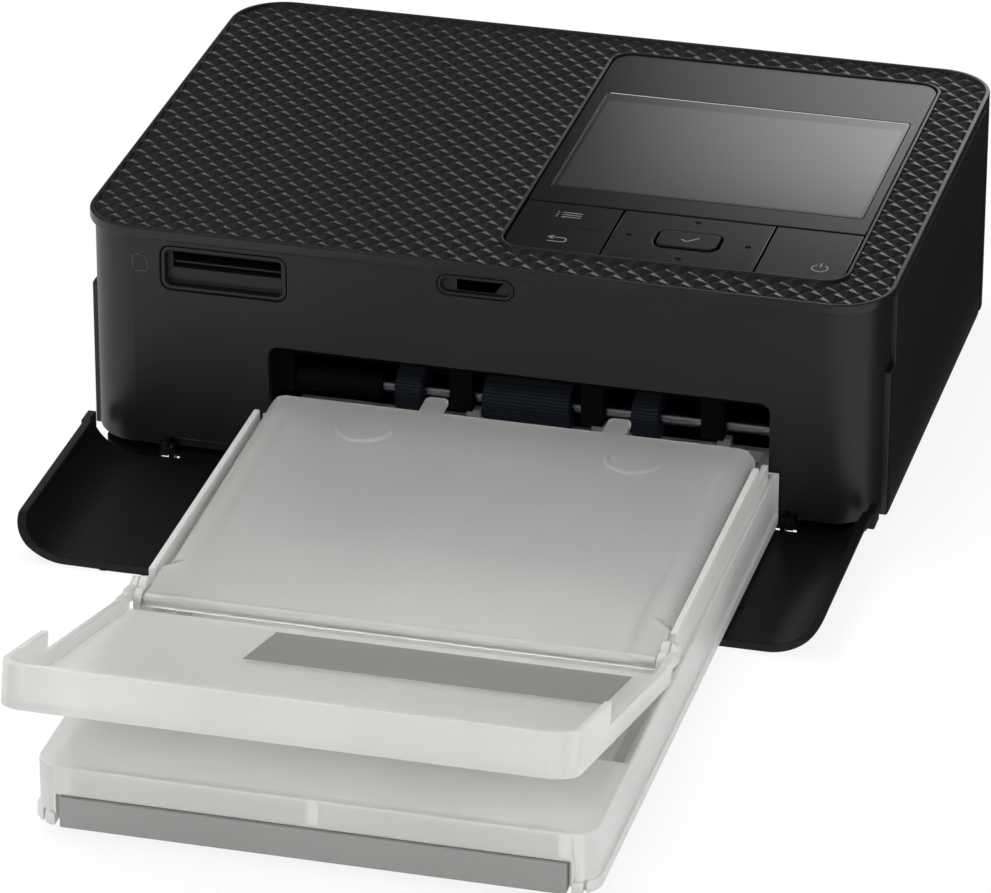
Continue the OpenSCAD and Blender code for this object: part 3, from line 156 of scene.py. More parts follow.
# %% World
SKY_LIGHT = 0.62  # strength of the world where it lights matt surfaces


def to_the_eye(tree):
    """1 where a ray comes from the camera, a glossy surface or a clear one, else 0."""
    ray = put(tree, "ShaderNodeLightPath")
    seen = put(tree, "ShaderNodeMath", {"operation": "MAXIMUM"},
               {0: ray.outputs["Is Camera Ray"], 1: ray.outputs["Is Glossy Ray"]})
    return put(tree, "ShaderNodeMath", {"operation": "MAXIMUM"},
               {0: seen.outputs[0], 1: ray.outputs["Is Transmission Ray"]}).outputs[0]


world = bpy.data.worlds.new("studio")
scene.world = world
world.use_nodes = True
sky = world.node_tree
sky.nodes.clear()
soft = put(sky, "ShaderNodeBackground", {"Color": WHITE, "Strength": SKY_LIGHT})
white = put(sky, "ShaderNodeBackground", {"Color": WHITE, "Strength": 1.0})
mixed = put(sky, "ShaderNodeMixShader", {},
            {0: to_the_eye(sky), 1: soft.outputs[0], 2: white.outputs[0]})
put(sky, "ShaderNodeOutputWorld", {}, {"Surface": mixed.outputs[0]})
print("the world lights at", SKY_LIGHT, "and looks white")

# %% [markdown]
# The floor is a sprayed white board. Its paint has a fine speckle of about a millimetre, which is
# all that keeps the shadow on it from looking like a flat tint.

# %% Floor
FLOOR_SIZE = 8  # m
FLOOR_SPECKLES = 900.0  # to a metre
FLOOR_GLOW = 0.86  # share of plain white in what the eye sees; the rest is the board in its light

floor_mat, tree, out = new_material("matt white board, sprayed")
grain = put(tree, "ShaderNodeTexNoise", {"Scale": FLOOR_SPECKLES, "Detail": 3.0},
            {"Vector": put(tree, "ShaderNodeTexCoord").outputs["Object"]})
tone = put(tree, "ShaderNodeMix",
           {"data_type": "RGBA", 6: colour("#ededed"), 7: colour("#f1f1f1")},
           {0: grain.outputs["Fac"]})
board = put(tree, "ShaderNodeBsdfDiffuse", {}, {"Color": tone.outputs[2]})
glow = put(tree, "ShaderNodeEmission", {"Color": WHITE, "Strength": 1.0})
share = put(tree, "ShaderNodeMath", {"operation": "MULTIPLY", 1: FLOOR_GLOW}, {0: to_the_eye(tree)})
floor_mix = put(tree, "ShaderNodeMixShader", {},
                {0: share.outputs[0], 1: board.outputs[0], 2: glow.outputs[0]})
tree.links.new(floor_mix.outputs[0], out.inputs["Surface"])

bpy.ops.mesh.primitive_plane_add(size=FLOOR_SIZE, location=(0, 0, 0))
floor = bpy.context.object
floor.name = "floor"
floor.data.materials.append(floor_mat)
print("floor and world are white to the camera")

# %% [markdown]
# ## Soft lamps
# One large soft lamp stands high on the left, as the bright left corner and the darker right side
# show. Two weaker ones fill the shadows from the front and the right. A black object is drawn by
# what it mirrors, and the fills would show in it as pale squares, so glossy rays miss them.

# %% Lamps
def soft_lamp(name, place, target, size, power):
    """A square area lamp that looks at a target: its size in metres, its power in watts."""
    bpy.ops.object.light_add(type="AREA", location=place)
    lamp = bpy.context.object
    lamp.name = name
    lamp.data.size = size
    lamp.data.energy = power
    lamp.rotation_euler = (target - place).to_track_quat("-Z", "Y").to_euler()
    return lamp


soft_lamp("key_left", at(-600, 300, 1500), at(0, -60, 20), 1.1, 19)
for lamp in (soft_lamp("fill_front", at(-500, -1400, 900), at(0, -150, 20), 1.2, 9),
             soft_lamp("fill_right", at(1200, -700, 600), at(60, -100, 20), 1.0, 9)):
    lamp.visible_glossy = False

# %% [markdown]
# ## Cards for the reflections
# A photographer hangs cards round a black object, and here only glossy rays see them. Those behind
# the printer show in what faces up. The upper ones go from dark at the left to bright at the right,
# which gives the display its slow change of tone, and the lower ones make the flanks of the small
# pyramids glint. Dark cards above and at the sides, and a sheet of velvet on the floor, keep the
# rest black. The one in front is pale at its left, so the front fades from its left corner.

# %% Cards
UPRIGHT, LEVEL, SIDEWAYS = (90, 0, 0), (0, 0, 0), (90, 0, 90)  # degrees


def card(name, middle, size, turn, tones):
    """A card, in mm, that glossy rays alone see; its tone changes along its width."""
    bpy.ops.mesh.primitive_plane_add(size=1, location=at(*middle),
                                     rotation=[math.radians(v) for v in turn])
    sheet = bpy.context.object
    sheet.name = name
    sheet.scale = (size[0] / 1000, size[1] / 1000, 1)
    material, tree, out = new_material("card, " + name)
    side = put(tree, "ShaderNodeSeparateXYZ", {},
               {0: put(tree, "ShaderNodeTexCoord").outputs["Object"]}).outputs["X"]
    level = put(tree, "ShaderNodeMapRange",
                {"From Min": -0.5, "From Max": 0.5, "To Min": tones[0], "To Max": tones[1]},
                {"Value": side})
    lit = put(tree, "ShaderNodeEmission", {"Color": WHITE}, {"Strength": level.outputs[0]})
    tree.links.new(lit.outputs[0], out.inputs["Surface"])
    sheet.data.materials.append(material)
    sheet.visible_camera = False
    sheet.visible_diffuse = False
    sheet.visible_transmission = False
    sheet.visible_shadow = False


# Name, middle, width and height, turn, and the tones at both ends
CARDS = (
    ("slope_card", (5, 300, 165), (150, 80), UPRIGHT, (0.0, 3.3)),
    ("bright_card", (115, 300, 165), (70, 80), UPRIGHT, (3.3, 1.4)),
    ("low_right_card", (60, 301, 66), (190, 112), UPRIGHT, (1.2, 2.4)),
    ("left_card", (-380, 300, 60), (620, 120), UPRIGHT, (2.2, 1.2)),
    ("left_high_card", (-410, 300, 160), (560, 80), UPRIGHT, (0.2, 0.05)),
    ("dark_card_right", (505, 302, 100), (710, 200), UPRIGHT, (0.1, 0.06)),
    ("dark_gap", (-100, 302, 100), (70, 200), UPRIGHT, (0.0, 0.0)),
    ("dark_card_high", (85, 300, 550), (1550, 700), UPRIGHT, (0.06, 0.05)),
    ("dark_ceiling", (0, 0, 900), (2600, 1900), LEVEL, (0.2, 0.05)),
    ("dark_side", (900, -200, 450), (1800, 900), SIDEWAYS, (0.1, 0.1)),
    ("front_card", (-200, -1700, 500), (2600, 1000), UPRIGHT, (0.8, 0.0)),
    ("velvet_right", (352, 270, 0.4), (520, 660), LEVEL, (0.03, 0.1)),
)
for row in CARDS:
    card(*row)
print("cards:", len(CARDS))

# %% [markdown]
# ## Finishes
# Most of the printer is ABS, a tough moulded plastic. What the eye sees is its tool: a finely
# etched mould gives a satin skin, a polished one a wet gloss. One recipe serves all of them: a
# base colour that clouds a little, a grain for the bump at its real size, and a roughness that
# varies with a slow noise as handled plastic does.

# %% Recipe for moulded plastic
CLOUDS = 28.0  # to a metre: a slow change of tone, about every 36 mm


def shade(factor, base):
    """A linear colour made darker or lighter by a factor."""
    return tuple(factor * v for v in base[:3]) + (1,)


def moulded(name, code, roughness, grain_mm, depth_mm, ior=1.5, coat=0.0, clear=0.0, gloss=0.5):
    """A plastic or rubber: its grain's size and depth, and how coated, clear and glossy it is."""
    material, tree, out = new_material(name)
    place = put(tree, "ShaderNodeTexCoord").outputs["Object"]
    cloud = put(tree, "ShaderNodeTexNoise", {"Scale": CLOUDS, "Detail": 3.0}, {"Vector": place})
    grain = put(tree, "ShaderNodeTexNoise", {"Scale": 1000.0 / grain_mm, "Detail": 2.0},
                {"Vector": place})
    base = colour(code)
    tint = put(tree, "ShaderNodeMix",
               {"data_type": "RGBA", 6: shade(0.92, base), 7: shade(1.08, base)},
               {0: cloud.outputs["Fac"]})
    rough = put(tree, "ShaderNodeMapRange",
                {"To Min": roughness * 0.9, "To Max": roughness * 1.1},
                {"Value": cloud.outputs["Fac"]})
    bump = put(tree, "ShaderNodeBump", {"Strength": 1.0, "Distance": depth_mm / 1000},
               {"Height": grain.outputs["Fac"]})
    skin = put(tree, "ShaderNodeBsdfPrincipled",
               {"IOR": ior, "Coat Weight": coat, "Coat Roughness": 0.12,
                "Transmission Weight": clear, "Specular IOR Level": gloss},
               {"Base Color": tint.outputs[2], "Roughness": rough.outputs[0],
                "Normal": bump.outputs[0]})
    tree.links.new(skin.outputs[0], out.inputs["Surface"])
    return material


print("one recipe for plastic and rubber; a cloud is", round(1000 / CLOUDS), "mm wide")

# %% [markdown]
# The black of the housing is kept darker than black ABS usually is, and less glossy, because the
# white studio would turn it grey. Each mould leaves its own skin, from satin to almost a mirror.

# %% Black plastics
# ABS from a finely etched mould: a satin black that greys a little where it faces the light
etched_abs = moulded("ABS black, moulded in an etched tool", "#121213", 0.42, 0.35, 0.006,
                     gloss=0.4)
# The same ABS from a milled mould, whose small pyramids have smooth flanks that glint
plate_abs = moulded("ABS black, moulded in a milled tool", "#111112", 0.3, 0.5, 0.002, gloss=0.42)
# ABS from a polished mould: smooth enough to mirror the cards softly
panel_abs = moulded("ABS black, moulded in a polished tool", "#0f0f10", 0.22, 0.6, 0.001,
                    gloss=0.28)
# The inside of the cover: the same ABS, a little duller
cover_abs = moulded("ABS black, moulded, inside of the cover", "#0d0d0e", 0.4, 0.35, 0.004,
                    gloss=0.2)
# Inner parts, left dull because nobody is meant to see them. The same darkest black is also the
# painted shade under the front of the printer.
inner_and_shade_abs = moulded("ABS black, moulded, inner parts and painted shade", "#060606", 0.6, 0.4, 0.004, gloss=0.06)
# The cartridge is a throw-away part in a plain dark grey
ribbon_abs = moulded("ABS dark grey, moulded, cartridge", "#2a2a2d", 0.4, 0.35, 0.004)
# A raised sign with a polished top, painted a paler grey than the black housing as a painted glint
# on the etched black
emboss_glint_grey = moulded("ABS black, raised sign, painted paler as its glint", "#2a2a2c", 0.3, 0.3, 0.001)
print("materials so far:", len(bpy.data.materials))

# %% [markdown]
# The window over the display is acrylic with a hard coat, so it mirrors more than the panel round
# it. The tray is frosted polystyrene, milky and half clear: its edges glow and its faces stay soft.
# The thinner its wall is, the more light goes through it and the less comes back.

# %% Clear plastics
# Dark window film over a display that is off: grey, and brighter in gloss than the panel
window = moulded("PMMA window over a dark display, hard coated", "#1c1c1d", 0.16, 0.8, 0.0002,
                 ior=1.6)
# The same window where the display lies behind it: the picture area is a little paler
picture = moulded("PMMA window over the picture area, hard coated", "#2b2b2b", 0.16, 0.8, 0.0002,
                  ior=1.75)
# The tray's base has the thickest walls, and the milkiest
frosted = moulded("polystyrene, frosted in a blasted tool", "#e4e4e2", 0.42, 0.25, 0.003,
                  ior=1.4, clear=0.52)
# The flap is thinner
frosted_thin = moulded("polystyrene, frosted, thin wall", "#ebebe9", 0.34, 0.25, 0.002,
                       ior=1.35, clear=0.71)
# The lid is the thinnest wall, clear enough to show the dark paper well under it
frosted_lid = moulded("polystyrene, frosted, lid", "#e9e9e7", 0.33, 0.25, 0.002,
                      ior=1.34, clear=0.82)
# A grey film laid on the flap's floor, a tone darker than the frosted wall: painted shade for the
# darker patch that shows through the floor
flap_shade_grey = moulded("grey sheet, painted shade in the flap", "#7a7a77", 0.4, 0.5, 0.001)
print("materials so far:", len(bpy.data.materials))

# %% [markdown]
# The rest is small: a grey strip and ivory gears, rubber that grips because it is dull and ground,
# the boards' green mask, the ribbon's glossy ink, and two printing inks, pale, matt and thin.

# %% Other plastics, rubber and ink
# Plain grey ABS, etched: the strip that closes the tray's front
grey_abs = moulded("ABS grey, moulded", "#848482", 0.5, 0.35, 0.004)
# Acetal is waxy and slippery, so its gears need no grease
acetal = moulded("acetal ivory, moulded gears", "#dcd8c8", 0.35, 0.5, 0.002, ior=1.48)
# Ground rubber has a fine nap that takes all the gloss away
navy_rubber = moulded("EPDM rubber navy, ground", "#151920", 0.6, 0.3, 0.01, gloss=0.15)
black_rubber = moulded("EPDM rubber black, moulded", "#19191a", 0.65, 0.4, 0.01)
# Solder mask is a lacquer over woven glass: a clear coat on a faint weave
solder_mask = moulded("glass epoxy with green solder mask", "#14452c", 0.3, 1.2, 0.004, coat=0.4)
# The ribbon's dye shows dark purple where it lies in many turns
ink_film = moulded("PET film with ink, slit", "#4a1a35", 0.12, 2.0, 0.002, ior=1.57)
ink_print = moulded("silver ink, pad printed", "#b4b4b4", 0.55, 0.2, 0.002)
key_ink = moulded("grey ink, pad printed", "#6c6c6c", 0.55, 0.2, 0.002, gloss=0.2)
print("materials so far:", len(bpy.data.materials))

# %% [markdown]
# A metal has no colour but its mirror's. What tells one from another is the pattern of its surface:
# zinc has spangles, and a ground or extruded metal has fine lines, which a Mapping node stretches.

# %% Recipe for metal
def metal(name, code, roughness, line_mm, depth_mm, stretch=(1, 1, 1)):
    """A metal with fine lines or spangles; stretch lengthens them along an axis."""
    material, tree, out = new_material(name)
    place = put(tree, "ShaderNodeMapping", {"Scale": stretch},
                {"Vector": put(tree, "ShaderNodeTexCoord").outputs["Object"]}).outputs[0]
    lines = put(tree, "ShaderNodeTexNoise", {"Scale": 1000.0 / line_mm, "Detail": 3.0},
                {"Vector": place})
    base = colour(code)
    tint = put(tree, "ShaderNodeMix", {"data_type": "RGBA", 6: shade(0.85, base), 7: base},
               {0: lines.outputs["Fac"]})
    rough = put(tree, "ShaderNodeMapRange",
                {"To Min": roughness * 0.75, "To Max": roughness * 1.25},
                {"Value": lines.outputs["Fac"]})
    bump = put(tree, "ShaderNodeBump", {"Strength": 1.0, "Distance": depth_mm / 1000},
               {"Height": lines.outputs["Fac"]})
    skin = put(tree, "ShaderNodeBsdfPrincipled", {"Metallic": 1.0},
               {"Base Color": tint.outputs[2], "Roughness": rough.outputs[0],
                "Normal": bump.outputs[0]})
    tree.links.new(skin.outputs[0], out.inputs["Surface"])
    return material


# Ground steel shaft: fine rings round it, so the lines are short along X
shaft_steel = metal("steel, ground", "#77797b", 0.3, 0.5, 0.001, stretch=(1, 0.2, 0.2))
# Zinc plated sheet: dull, with spangles of a millimetre or two
sheet_steel = metal("steel sheet, zinc plated", "#a9acaf", 0.38, 1.5, 0.004)
# Extruded aluminium: long lines along X, as it left the die
aluminium = metal("aluminium, extruded", "#b9bcc0", 0.4, 0.8, 0.004, stretch=(0.1, 1, 1))
print("finishes, with those of the floor and the cards:", len(bpy.data.materials))

# %% [markdown]
# ## Every part gets its finish
# The finish is put in the material slots of the part. The frame's own parts stay where they are,
# and those inside, or too small to need more, keep their solid shape. The outer ones are copied
# further on, and each copy takes the finish of its part along.

# %% Paint the parts
def paint(material, *names):
    """Give parts of the frame a finish."""
    for name in names:
        mesh = nodes[name].data
        for k in range(len(mesh.materials)):
            mesh.materials[k] = material
        if not mesh.materials:
            mesh.materials.append(material)


paint(etched_abs, "base_pan", "front_panel", "left_side_panel", "rear_panel", "ribbon_door",
      "card_slot_insert", "catch_window", "power_jack")
paint(plate_abs, "top_plate")
paint(panel_abs, "control_panel", "menu_key", "nav_pad", "ok_key", "power_key")
paint(cover_abs, "front_cover", "cover_lugs")
paint(window, "display_glass")
paint(inner_and_shade_abs, "feed_frame", "paper_guide")
paint(ribbon_abs, "ribbon_shell")
paint(frosted, "tray_base", "lid_pins", "flap_pins")
paint(frosted_thin, "tray_flap")
paint(frosted_lid, "tray_lid")
paint(grey_abs, "tray_strip")
paint(acetal, "nav_gimbal", "pickup_gear", "transport_gear", "platen_gear", "idler_front",
      "idler_back", "motor_pinion")
paint(navy_rubber, "pickup_rollers")
paint(black_rubber, "rubber_feet", "platen_roller", "pinch_roller")
paint(solder_mask, "key_board", "main_board")
paint(ink_film, "supply_spool", "takeup_spool", "ribbon_film")
paint(shaft_steel, "cover_pins", "door_pins", "pickup_shaft", "transport_roller", "gear_posts",
      "head_pivot")
paint(sheet_steel, "display_module", "card_socket", "chassis_left", "chassis_right",
      "chassis_beam", "drive_motor", "head_arm", "usb_socket", "lift_plate")
paint(aluminium, "thermal_head")
print("painted:", sum(1 for n in nodes.values() if n.data.materials))

# %% [markdown]
# ## Modelling by hand, in code
# Everything selected takes part in an operator, so each step first deselects all and then picks
# what it needs. Faces, edges and corners are picked by their place, as one would by eye.

# %% Helpers that select
def only(piece):
    """Deselect everything, then select this piece and make it the active one."""
    if bpy.context.object and bpy.context.object.mode != "OBJECT":
        bpy.ops.object.mode_set(mode="OBJECT")
    bpy.ops.object.select_all(action="DESELECT")
    piece.select_set(True)
    bpy.context.view_layer.objects.active = piece


def edit(piece):
    """Go into edit mode on this piece alone."""
    only(piece)
    bpy.ops.object.mode_set(mode="EDIT")


def pick(piece, kind, test):
    """In edit mode, select what passes a test: a face by its middle and normal, an edge by its
    two ends, a corner by its place."""
    bpy.ops.mesh.select_mode(type=kind)
    bpy.ops.mesh.select_all(action="DESELECT")
    mesh = bmesh.from_edit_mesh(piece.data)
    for part in {"FACE": mesh.faces, "EDGE": mesh.edges, "VERT": mesh.verts}[kind]:
        if kind == "FACE":
            chosen = test(part.calc_center_median(), part.normal)
        elif kind == "EDGE":
            chosen = test(*[v.co for v in part.verts])
        else:
            chosen = test(part.co)
        part.select_set(bool(chosen))
    mesh.select_flush_mode()
    bmesh.update_edit_mesh(piece.data)


print("helpers that select: 3")

# %% [markdown]
# A finished piece is settled: its origin goes to the frame's origin, its corners are merged and its
# faces turned outwards. Then it gets its name and its finish, and rides on the body that carries
# it.


def apply_place(piece):
    """Move a piece's place, turn and size into its mesh."""
    only(piece)
    bpy.ops.object.transform_apply(location=True, rotation=True, scale=True)


def settle(piece, angle=35):
    """Put the origin at the frame's origin, turn faces outwards, shade soft where it is round."""
    apply_place(piece)
    bpy.ops.object.mode_set(mode="EDIT")
    bpy.ops.mesh.select_all(action="SELECT")
    bpy.ops.mesh.remove_doubles(threshold=1e-7)
    bpy.ops.mesh.normals_make_consistent(inside=False)
    bpy.ops.object.mode_set(mode="OBJECT")
    bpy.ops.object.shade_smooth_by_angle(angle=math.radians(angle))


def finish(piece, name, material, body):
    """Name a piece, give it its finish and let it ride on the body that carries it."""
    piece.name = name
    piece.data.name = name
    piece.data.materials.clear()
    piece.data.materials.append(material)
    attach(piece, body)
    print(name, "has", len(piece.data.polygons), "faces")
    return piece


# %% [markdown]
# Most pieces start as a block. It is made round at its upright edges by a bevel, and other blocks
# are cut out of it by a boolean, as a mill would cut them.

# %% Helpers that shape
def modifier(piece, kind, **settings):
    """Add a modifier with its settings and apply it."""
    only(piece)
    made = piece.modifiers.new(kind.lower(), kind)
    for key, value in settings.items():
        setattr(made, key, value)
    bpy.ops.object.modifier_apply(modifier=made.name)


def slab(low, high):
    """A block between two corners, as a start for a shape."""
    bpy.ops.mesh.primitive_cube_add(size=1, location=(low + high) / 2)
    piece = bpy.context.object
    piece.scale = high - low
    apply_place(piece)
    return piece


def rounded_slab(low, high, radius, segments=6):
    """A block whose four upright edges are rounded, with a radius in mm."""
    piece = slab(low, high)
    edit(piece)
    pick(piece, "EDGE", lambda a, b: abs(a.z - b.z) > 1e-4)
    bpy.ops.mesh.bevel(offset=radius / 1000, segments=segments, affect="EDGES")
    bpy.ops.object.mode_set(mode="OBJECT")
    return piece


def cut(piece, tool, operation):
    """Cut a piece by another and remove the tool."""
    modifier(piece, "BOOLEAN", operation=operation, object=tool, solver="EXACT")
    bpy.data.objects.remove(tool, do_unlink=True)


print("helpers that shape: 4")

# %% [markdown]
# ## Rounded edges on the outer parts
# No moulded edge is sharp: a small round catches the light as a thin bright line, and that line
# tells the eye where one part ends. A copy of each outer part is merged, its flat faces are joined,
# and a bevel rounds every edge that turns by more than thirty degrees. The copy then stands for the
# part of the frame.

# %% Round the edges of a copy
FLAT_TURN, EDGE_TURN, SOFT_TURN = 0.5, 30, 32  # degrees: still flat, an edge to round, still soft
WIDE_FACE = 0.0004  # m2: a face this wide is flat on the real part and keeps its own normal


def rounded(name, edge_mm, reshape=None):
    """Show a copy of a part in its place: reshaped first if asked, and with its edges rounded."""
    source = nodes[name]
    piece = bpy.data.objects.new(name + "_shown", source.data.copy())
    scene.collection.objects.link(piece)
    edit(piece)
    bpy.ops.mesh.select_all(action="SELECT")
    bpy.ops.mesh.remove_doubles(threshold=1e-6)
    bpy.ops.mesh.dissolve_limited(angle_limit=math.radians(FLAT_TURN), delimit=set())
    bpy.ops.object.mode_set(mode="OBJECT")
    if reshape:
        reshape(piece)
    modifier(piece, "BEVEL", width=edge_mm / 1000, segments=2, limit_method="ANGLE",
             angle_limit=math.radians(EDGE_TURN), use_clamp_overlap=False,
             miter_outer="MITER_SHARP")
    only(piece)
    bpy.ops.object.shade_smooth_by_angle(angle=math.radians(SOFT_TURN))
    for face in piece.data.polygons:
        if face.area > WIDE_FACE:
            face.use_smooth = False
    modifier(piece, "WEIGHTED_NORMAL", mode="FACE_AREA", weight=100, keep_sharp=True)
    finish(piece, name + "_shown", source.data.materials[0], source["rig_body"])
    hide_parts(name)


print("faces wider than", round(WIDE_FACE * 10000), "square cm stay flat")

# %% [markdown]
# Two parts are reshaped before their edges are rounded. The lid is one sheet, and the real one has
# a lip folded down along both long sides, which closes the gap to the tray's walls: its side faces
# are extruded outwards in four small steps. The top plate's sunk field is lowered a little, to make
# room for taller pyramids in it.

# %% Two parts that are reshaped
MID_X = 10.2  # mm: the middle of the tray, right of the body's middle
LID_HALF = 50.2  # mm: half the lid's width where it has its lips
LIP_START = -140  # mm: the lips run from here to the back
LIP_FOLDS = ((1.2, 0), (1.6, 0.5), (1.2, 1.3), (0.6, 1.2))  # mm out and down, step by step
FIELD_FLOOR, SINK = 57.15, 0.4  # mm: where the part has its field, and how far it is lowered


def fold_lips(piece):
    """Fold a lip out of both long sides of the lid."""
    for side in (-1, 1):
        edit(piece)
        pick(piece, "FACE", lambda place, normal: normal.x * side > 0.99
             and abs(place.x * 1000 - MID_X - side * LID_HALF) < 0.05
             and place.y > at(0, LIP_START, 0).y)
        for out_mm, down_mm in LIP_FOLDS:
            bpy.ops.mesh.extrude_region_move(
                TRANSFORM_OT_translate={"value": (side * out_mm / 1000, 0, -down_mm / 1000)})
        bpy.ops.object.mode_set(mode="OBJECT")


def sink_field(piece):
    """Lower the floor of the top plate's field."""
    edit(piece)
    pick(piece, "VERT", lambda place: abs(place.z * 1000 - FIELD_FLOOR) < 0.02)
    bpy.ops.transform.translate(value=(0, 0, -SINK / 1000))
    bpy.ops.object.mode_set(mode="OBJECT")


rounded("top_plate", 0.35, sink_field)
rounded("tray_lid", 0.3, fold_lips)

# %% [markdown]
# The other parts only get their round edges. The width is what fits on the part: a thin wall or a
# low step, as on the keys and the flap, takes a smaller one, because two bevels that meet would
# tear the face between them.

# %% The other outer parts
EDGES = {  # mm
    "front_panel": 0.3, "left_side_panel": 0.3, "ribbon_door": 0.25, "rear_panel": 0.25,
    "control_panel": 0.2, "display_glass": 0.1, "menu_key": 0.15, "nav_pad": 0.15,
    "power_key": 0.15, "front_cover": 0.3, "tray_base": 0.3, "tray_flap": 0.2, "ok_key": 0.25,
    "card_slot_insert": 0.3, "catch_window": 0.2, "cover_lugs": 0.2, "feed_frame": 0.3,
    "tray_strip": 0.3,
}
for part, edge_mm in EDGES.items():
    rounded(part, edge_mm)

# %% [markdown]
# ## The field of pyramids
# The top plate is covered with low four-sided pyramids on a rhombic base, 5.1 mm wide, 5.8 mm deep
# and 0.7 mm high, set like tiles on point. Every second point of a plain grid is a peak, so one
# grid makes them all: join the low points across each cell, then pick the peaks and lift them. The
# grid is closed to a solid and cut to the outline of the sunken field by a boolean, which leaves
# part pyramids along the rim as on the real plate. A second cut leaves out the control panel.

# %% Pyramid grid
STEP_X, STEP_Y, PEAK = 2.55, 2.9, 0.72  # mm: half a pyramid's width and depth, and its height
COLUMNS, ROWS = 74, 48
BODY_TOP = 57.6  # mm
FIELD_Z = BODY_TOP - 0.78  # mm: where the pyramids stand, so that their peaks end under the top
SKIRT, BASE = 1.2, 0.3  # mm: how far the grid is pulled down, and how deep its flat underside is

bpy.ops.mesh.primitive_grid_add(x_subdivisions=COLUMNS, y_subdivisions=ROWS, size=1,
                                location=at(0, 0, FIELD_Z))
pyramids = bpy.context.object
pyramids.scale = (COLUMNS * STEP_X / 1000, ROWS * STEP_Y / 1000, 1)
apply_place(pyramids)


def is_peak(place):
    """Peaks are every second point of the grid."""
    i = round(place.x * 1000 / STEP_X)
    j = round((place.y - MIDDLE_Y) * 1000 / STEP_Y)
    return (i + j) % 2 == 0


edit(pyramids)
pick(pyramids, "VERT", lambda place: not is_peak(place))
bpy.ops.mesh.vert_connect()
pick(pyramids, "VERT", is_peak)
bpy.ops.transform.translate(value=(0, 0, PEAK / 1000))
bpy.ops.mesh.select_all(action="SELECT")
bpy.ops.mesh.extrude_region_move(TRANSFORM_OT_translate={"value": (0, 0, -SKIRT / 1000)})
bpy.ops.transform.resize(value=(1, 1, 0), center_override=at(0, 0, FIELD_Z - BASE))
bpy.ops.mesh.select_all(action="SELECT")
bpy.ops.mesh.normals_make_consistent(inside=False)
bpy.ops.object.mode_set(mode="OBJECT")
print("the grid has", len(pyramids.data.polygons), "faces")

# %% Pyramid field
FIELD_X, FIELD_Y, FIELD_ROUND = 90.0, 65.4, 11.6  # mm: half the field's size, and its corners
HOLE_LOW, HOLE_HIGH, HOLE_ROUND = (2.2, -53.8), (79.3, 56.8), 5.8  # mm: the control panel's place
RIM = 0.8  # mm: the plain rim round it
PAST_LOW, PAST_HIGH = 50, 60  # mm: both tools reach past the grid below and above
KEEN = 5  # degrees: nothing that turns by more is shaded soft, so the pyramids stay keen

field = rounded_slab(at(-FIELD_X, -FIELD_Y, PAST_LOW), at(FIELD_X, FIELD_Y, PAST_HIGH),
                     FIELD_ROUND, 8)
cut(pyramids, field, "INTERSECT")
hole = rounded_slab(at(HOLE_LOW[0] - RIM, HOLE_LOW[1] - RIM, PAST_LOW),
                    at(HOLE_HIGH[0] + RIM, HOLE_HIGH[1] + RIM, PAST_HIGH), HOLE_ROUND)
cut(pyramids, hole, "DIFFERENCE")
settle(pyramids, KEEN)
finish(pyramids, "pyramid_field", plate_abs, "printer")

# %% [markdown]
# ## The display behind its window
# The window is one dark sheet. The picture area behind it is a little paler than the black border
# that hides the display's edge, so it is laid on the window as a sheet that stands 0.02 mm proud,
# with small round corners. The border is wide at the back, where the display's foils end, and a
# thin bright line closes it there.

# %% Picture area
PICTURE_LOW, PICTURE_HIGH, PICTURE_ROUND = (6.9, -19.3), (75.9, 29.2), 0.6  # mm
SUNK, PROUD = 0.05, 0.02  # mm: how deep the sheet goes into the window, and how far it stands out

glass_top = 1000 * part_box("display_glass")[1].z
sheet = rounded_slab(at(*PICTURE_LOW, glass_top - SUNK), at(*PICTURE_HIGH, glass_top + PROUD),
                     PICTURE_ROUND, 3)
settle(sheet)
finish(sheet, "picture_area", picture, "printer")

# %% Line at the window's back
LINE_LOW, LINE_HIGH, LINE_PROUD = (6.2, 33.45), (76.3, 33.75), 0.03  # mm
LINE_BEVEL = 0.00004  # m

line = slab(at(*LINE_LOW, glass_top - SUNK), at(*LINE_HIGH, glass_top + LINE_PROUD))
edit(line)
pick(line, "EDGE", lambda a, b: min(a.z, b.z) > at(0, 0, glass_top).z)
bpy.ops.mesh.bevel(offset=LINE_BEVEL, segments=1, affect="EDGES")
settle(line)
finish(line, "window_back_line", ink_print, "printer")

# %% [markdown]
# ## Signs on the keys and the front
# The signs are plain ones that any maker uses: a list, a return arrow, a tick, a power sign and a
# memory card. Each is drawn with two strokes: a straight bar, and an arc that is spun round its
# centre. The strokes of one sign are joined and lie on the key like a printed layer.

# %% Strokes
INK_THICK = 0.00004  # m
ARC_STEP = 12  # degrees of an arc to one face


def bar(x0, y0, x1, y1, width, z):
    """A straight stroke between two places, lying flat."""
    bpy.ops.mesh.primitive_cube_add(size=1, location=at((x0 + x1) / 2, (y0 + y1) / 2, z))
    stroke = bpy.context.object
    stroke.scale = (math.hypot(x1 - x0, y1 - y0) / 1000, width / 1000, INK_THICK)
    stroke.rotation_euler.z = math.atan2(y1 - y0, x1 - x0)
    return stroke


def arc(x, y, radius, width, start, sweep, z):
    """A round stroke: a thin bar spun clockwise round the centre, then turned to its start."""
    bpy.ops.mesh.primitive_cube_add(size=1, location=at(x, y, z))
    stroke = bpy.context.object
    edit(stroke)
    bpy.ops.mesh.select_all(action="SELECT")
    bpy.ops.transform.resize(value=(width / 1000, 1e-5, INK_THICK), center_override=at(x, y, z))
    bpy.ops.transform.translate(value=(radius / 1000, 0, 0))
    pick(stroke, "FACE", lambda place, normal: normal.y > 0.9)
    bpy.ops.mesh.spin(steps=max(6, int(sweep / ARC_STEP)), angle=math.radians(sweep),
                      center=at(x, y, z), axis=(0, 0, 1))
    bpy.ops.object.mode_set(mode="OBJECT")
    stroke.rotation_euler.z = math.radians(start)
    return stroke


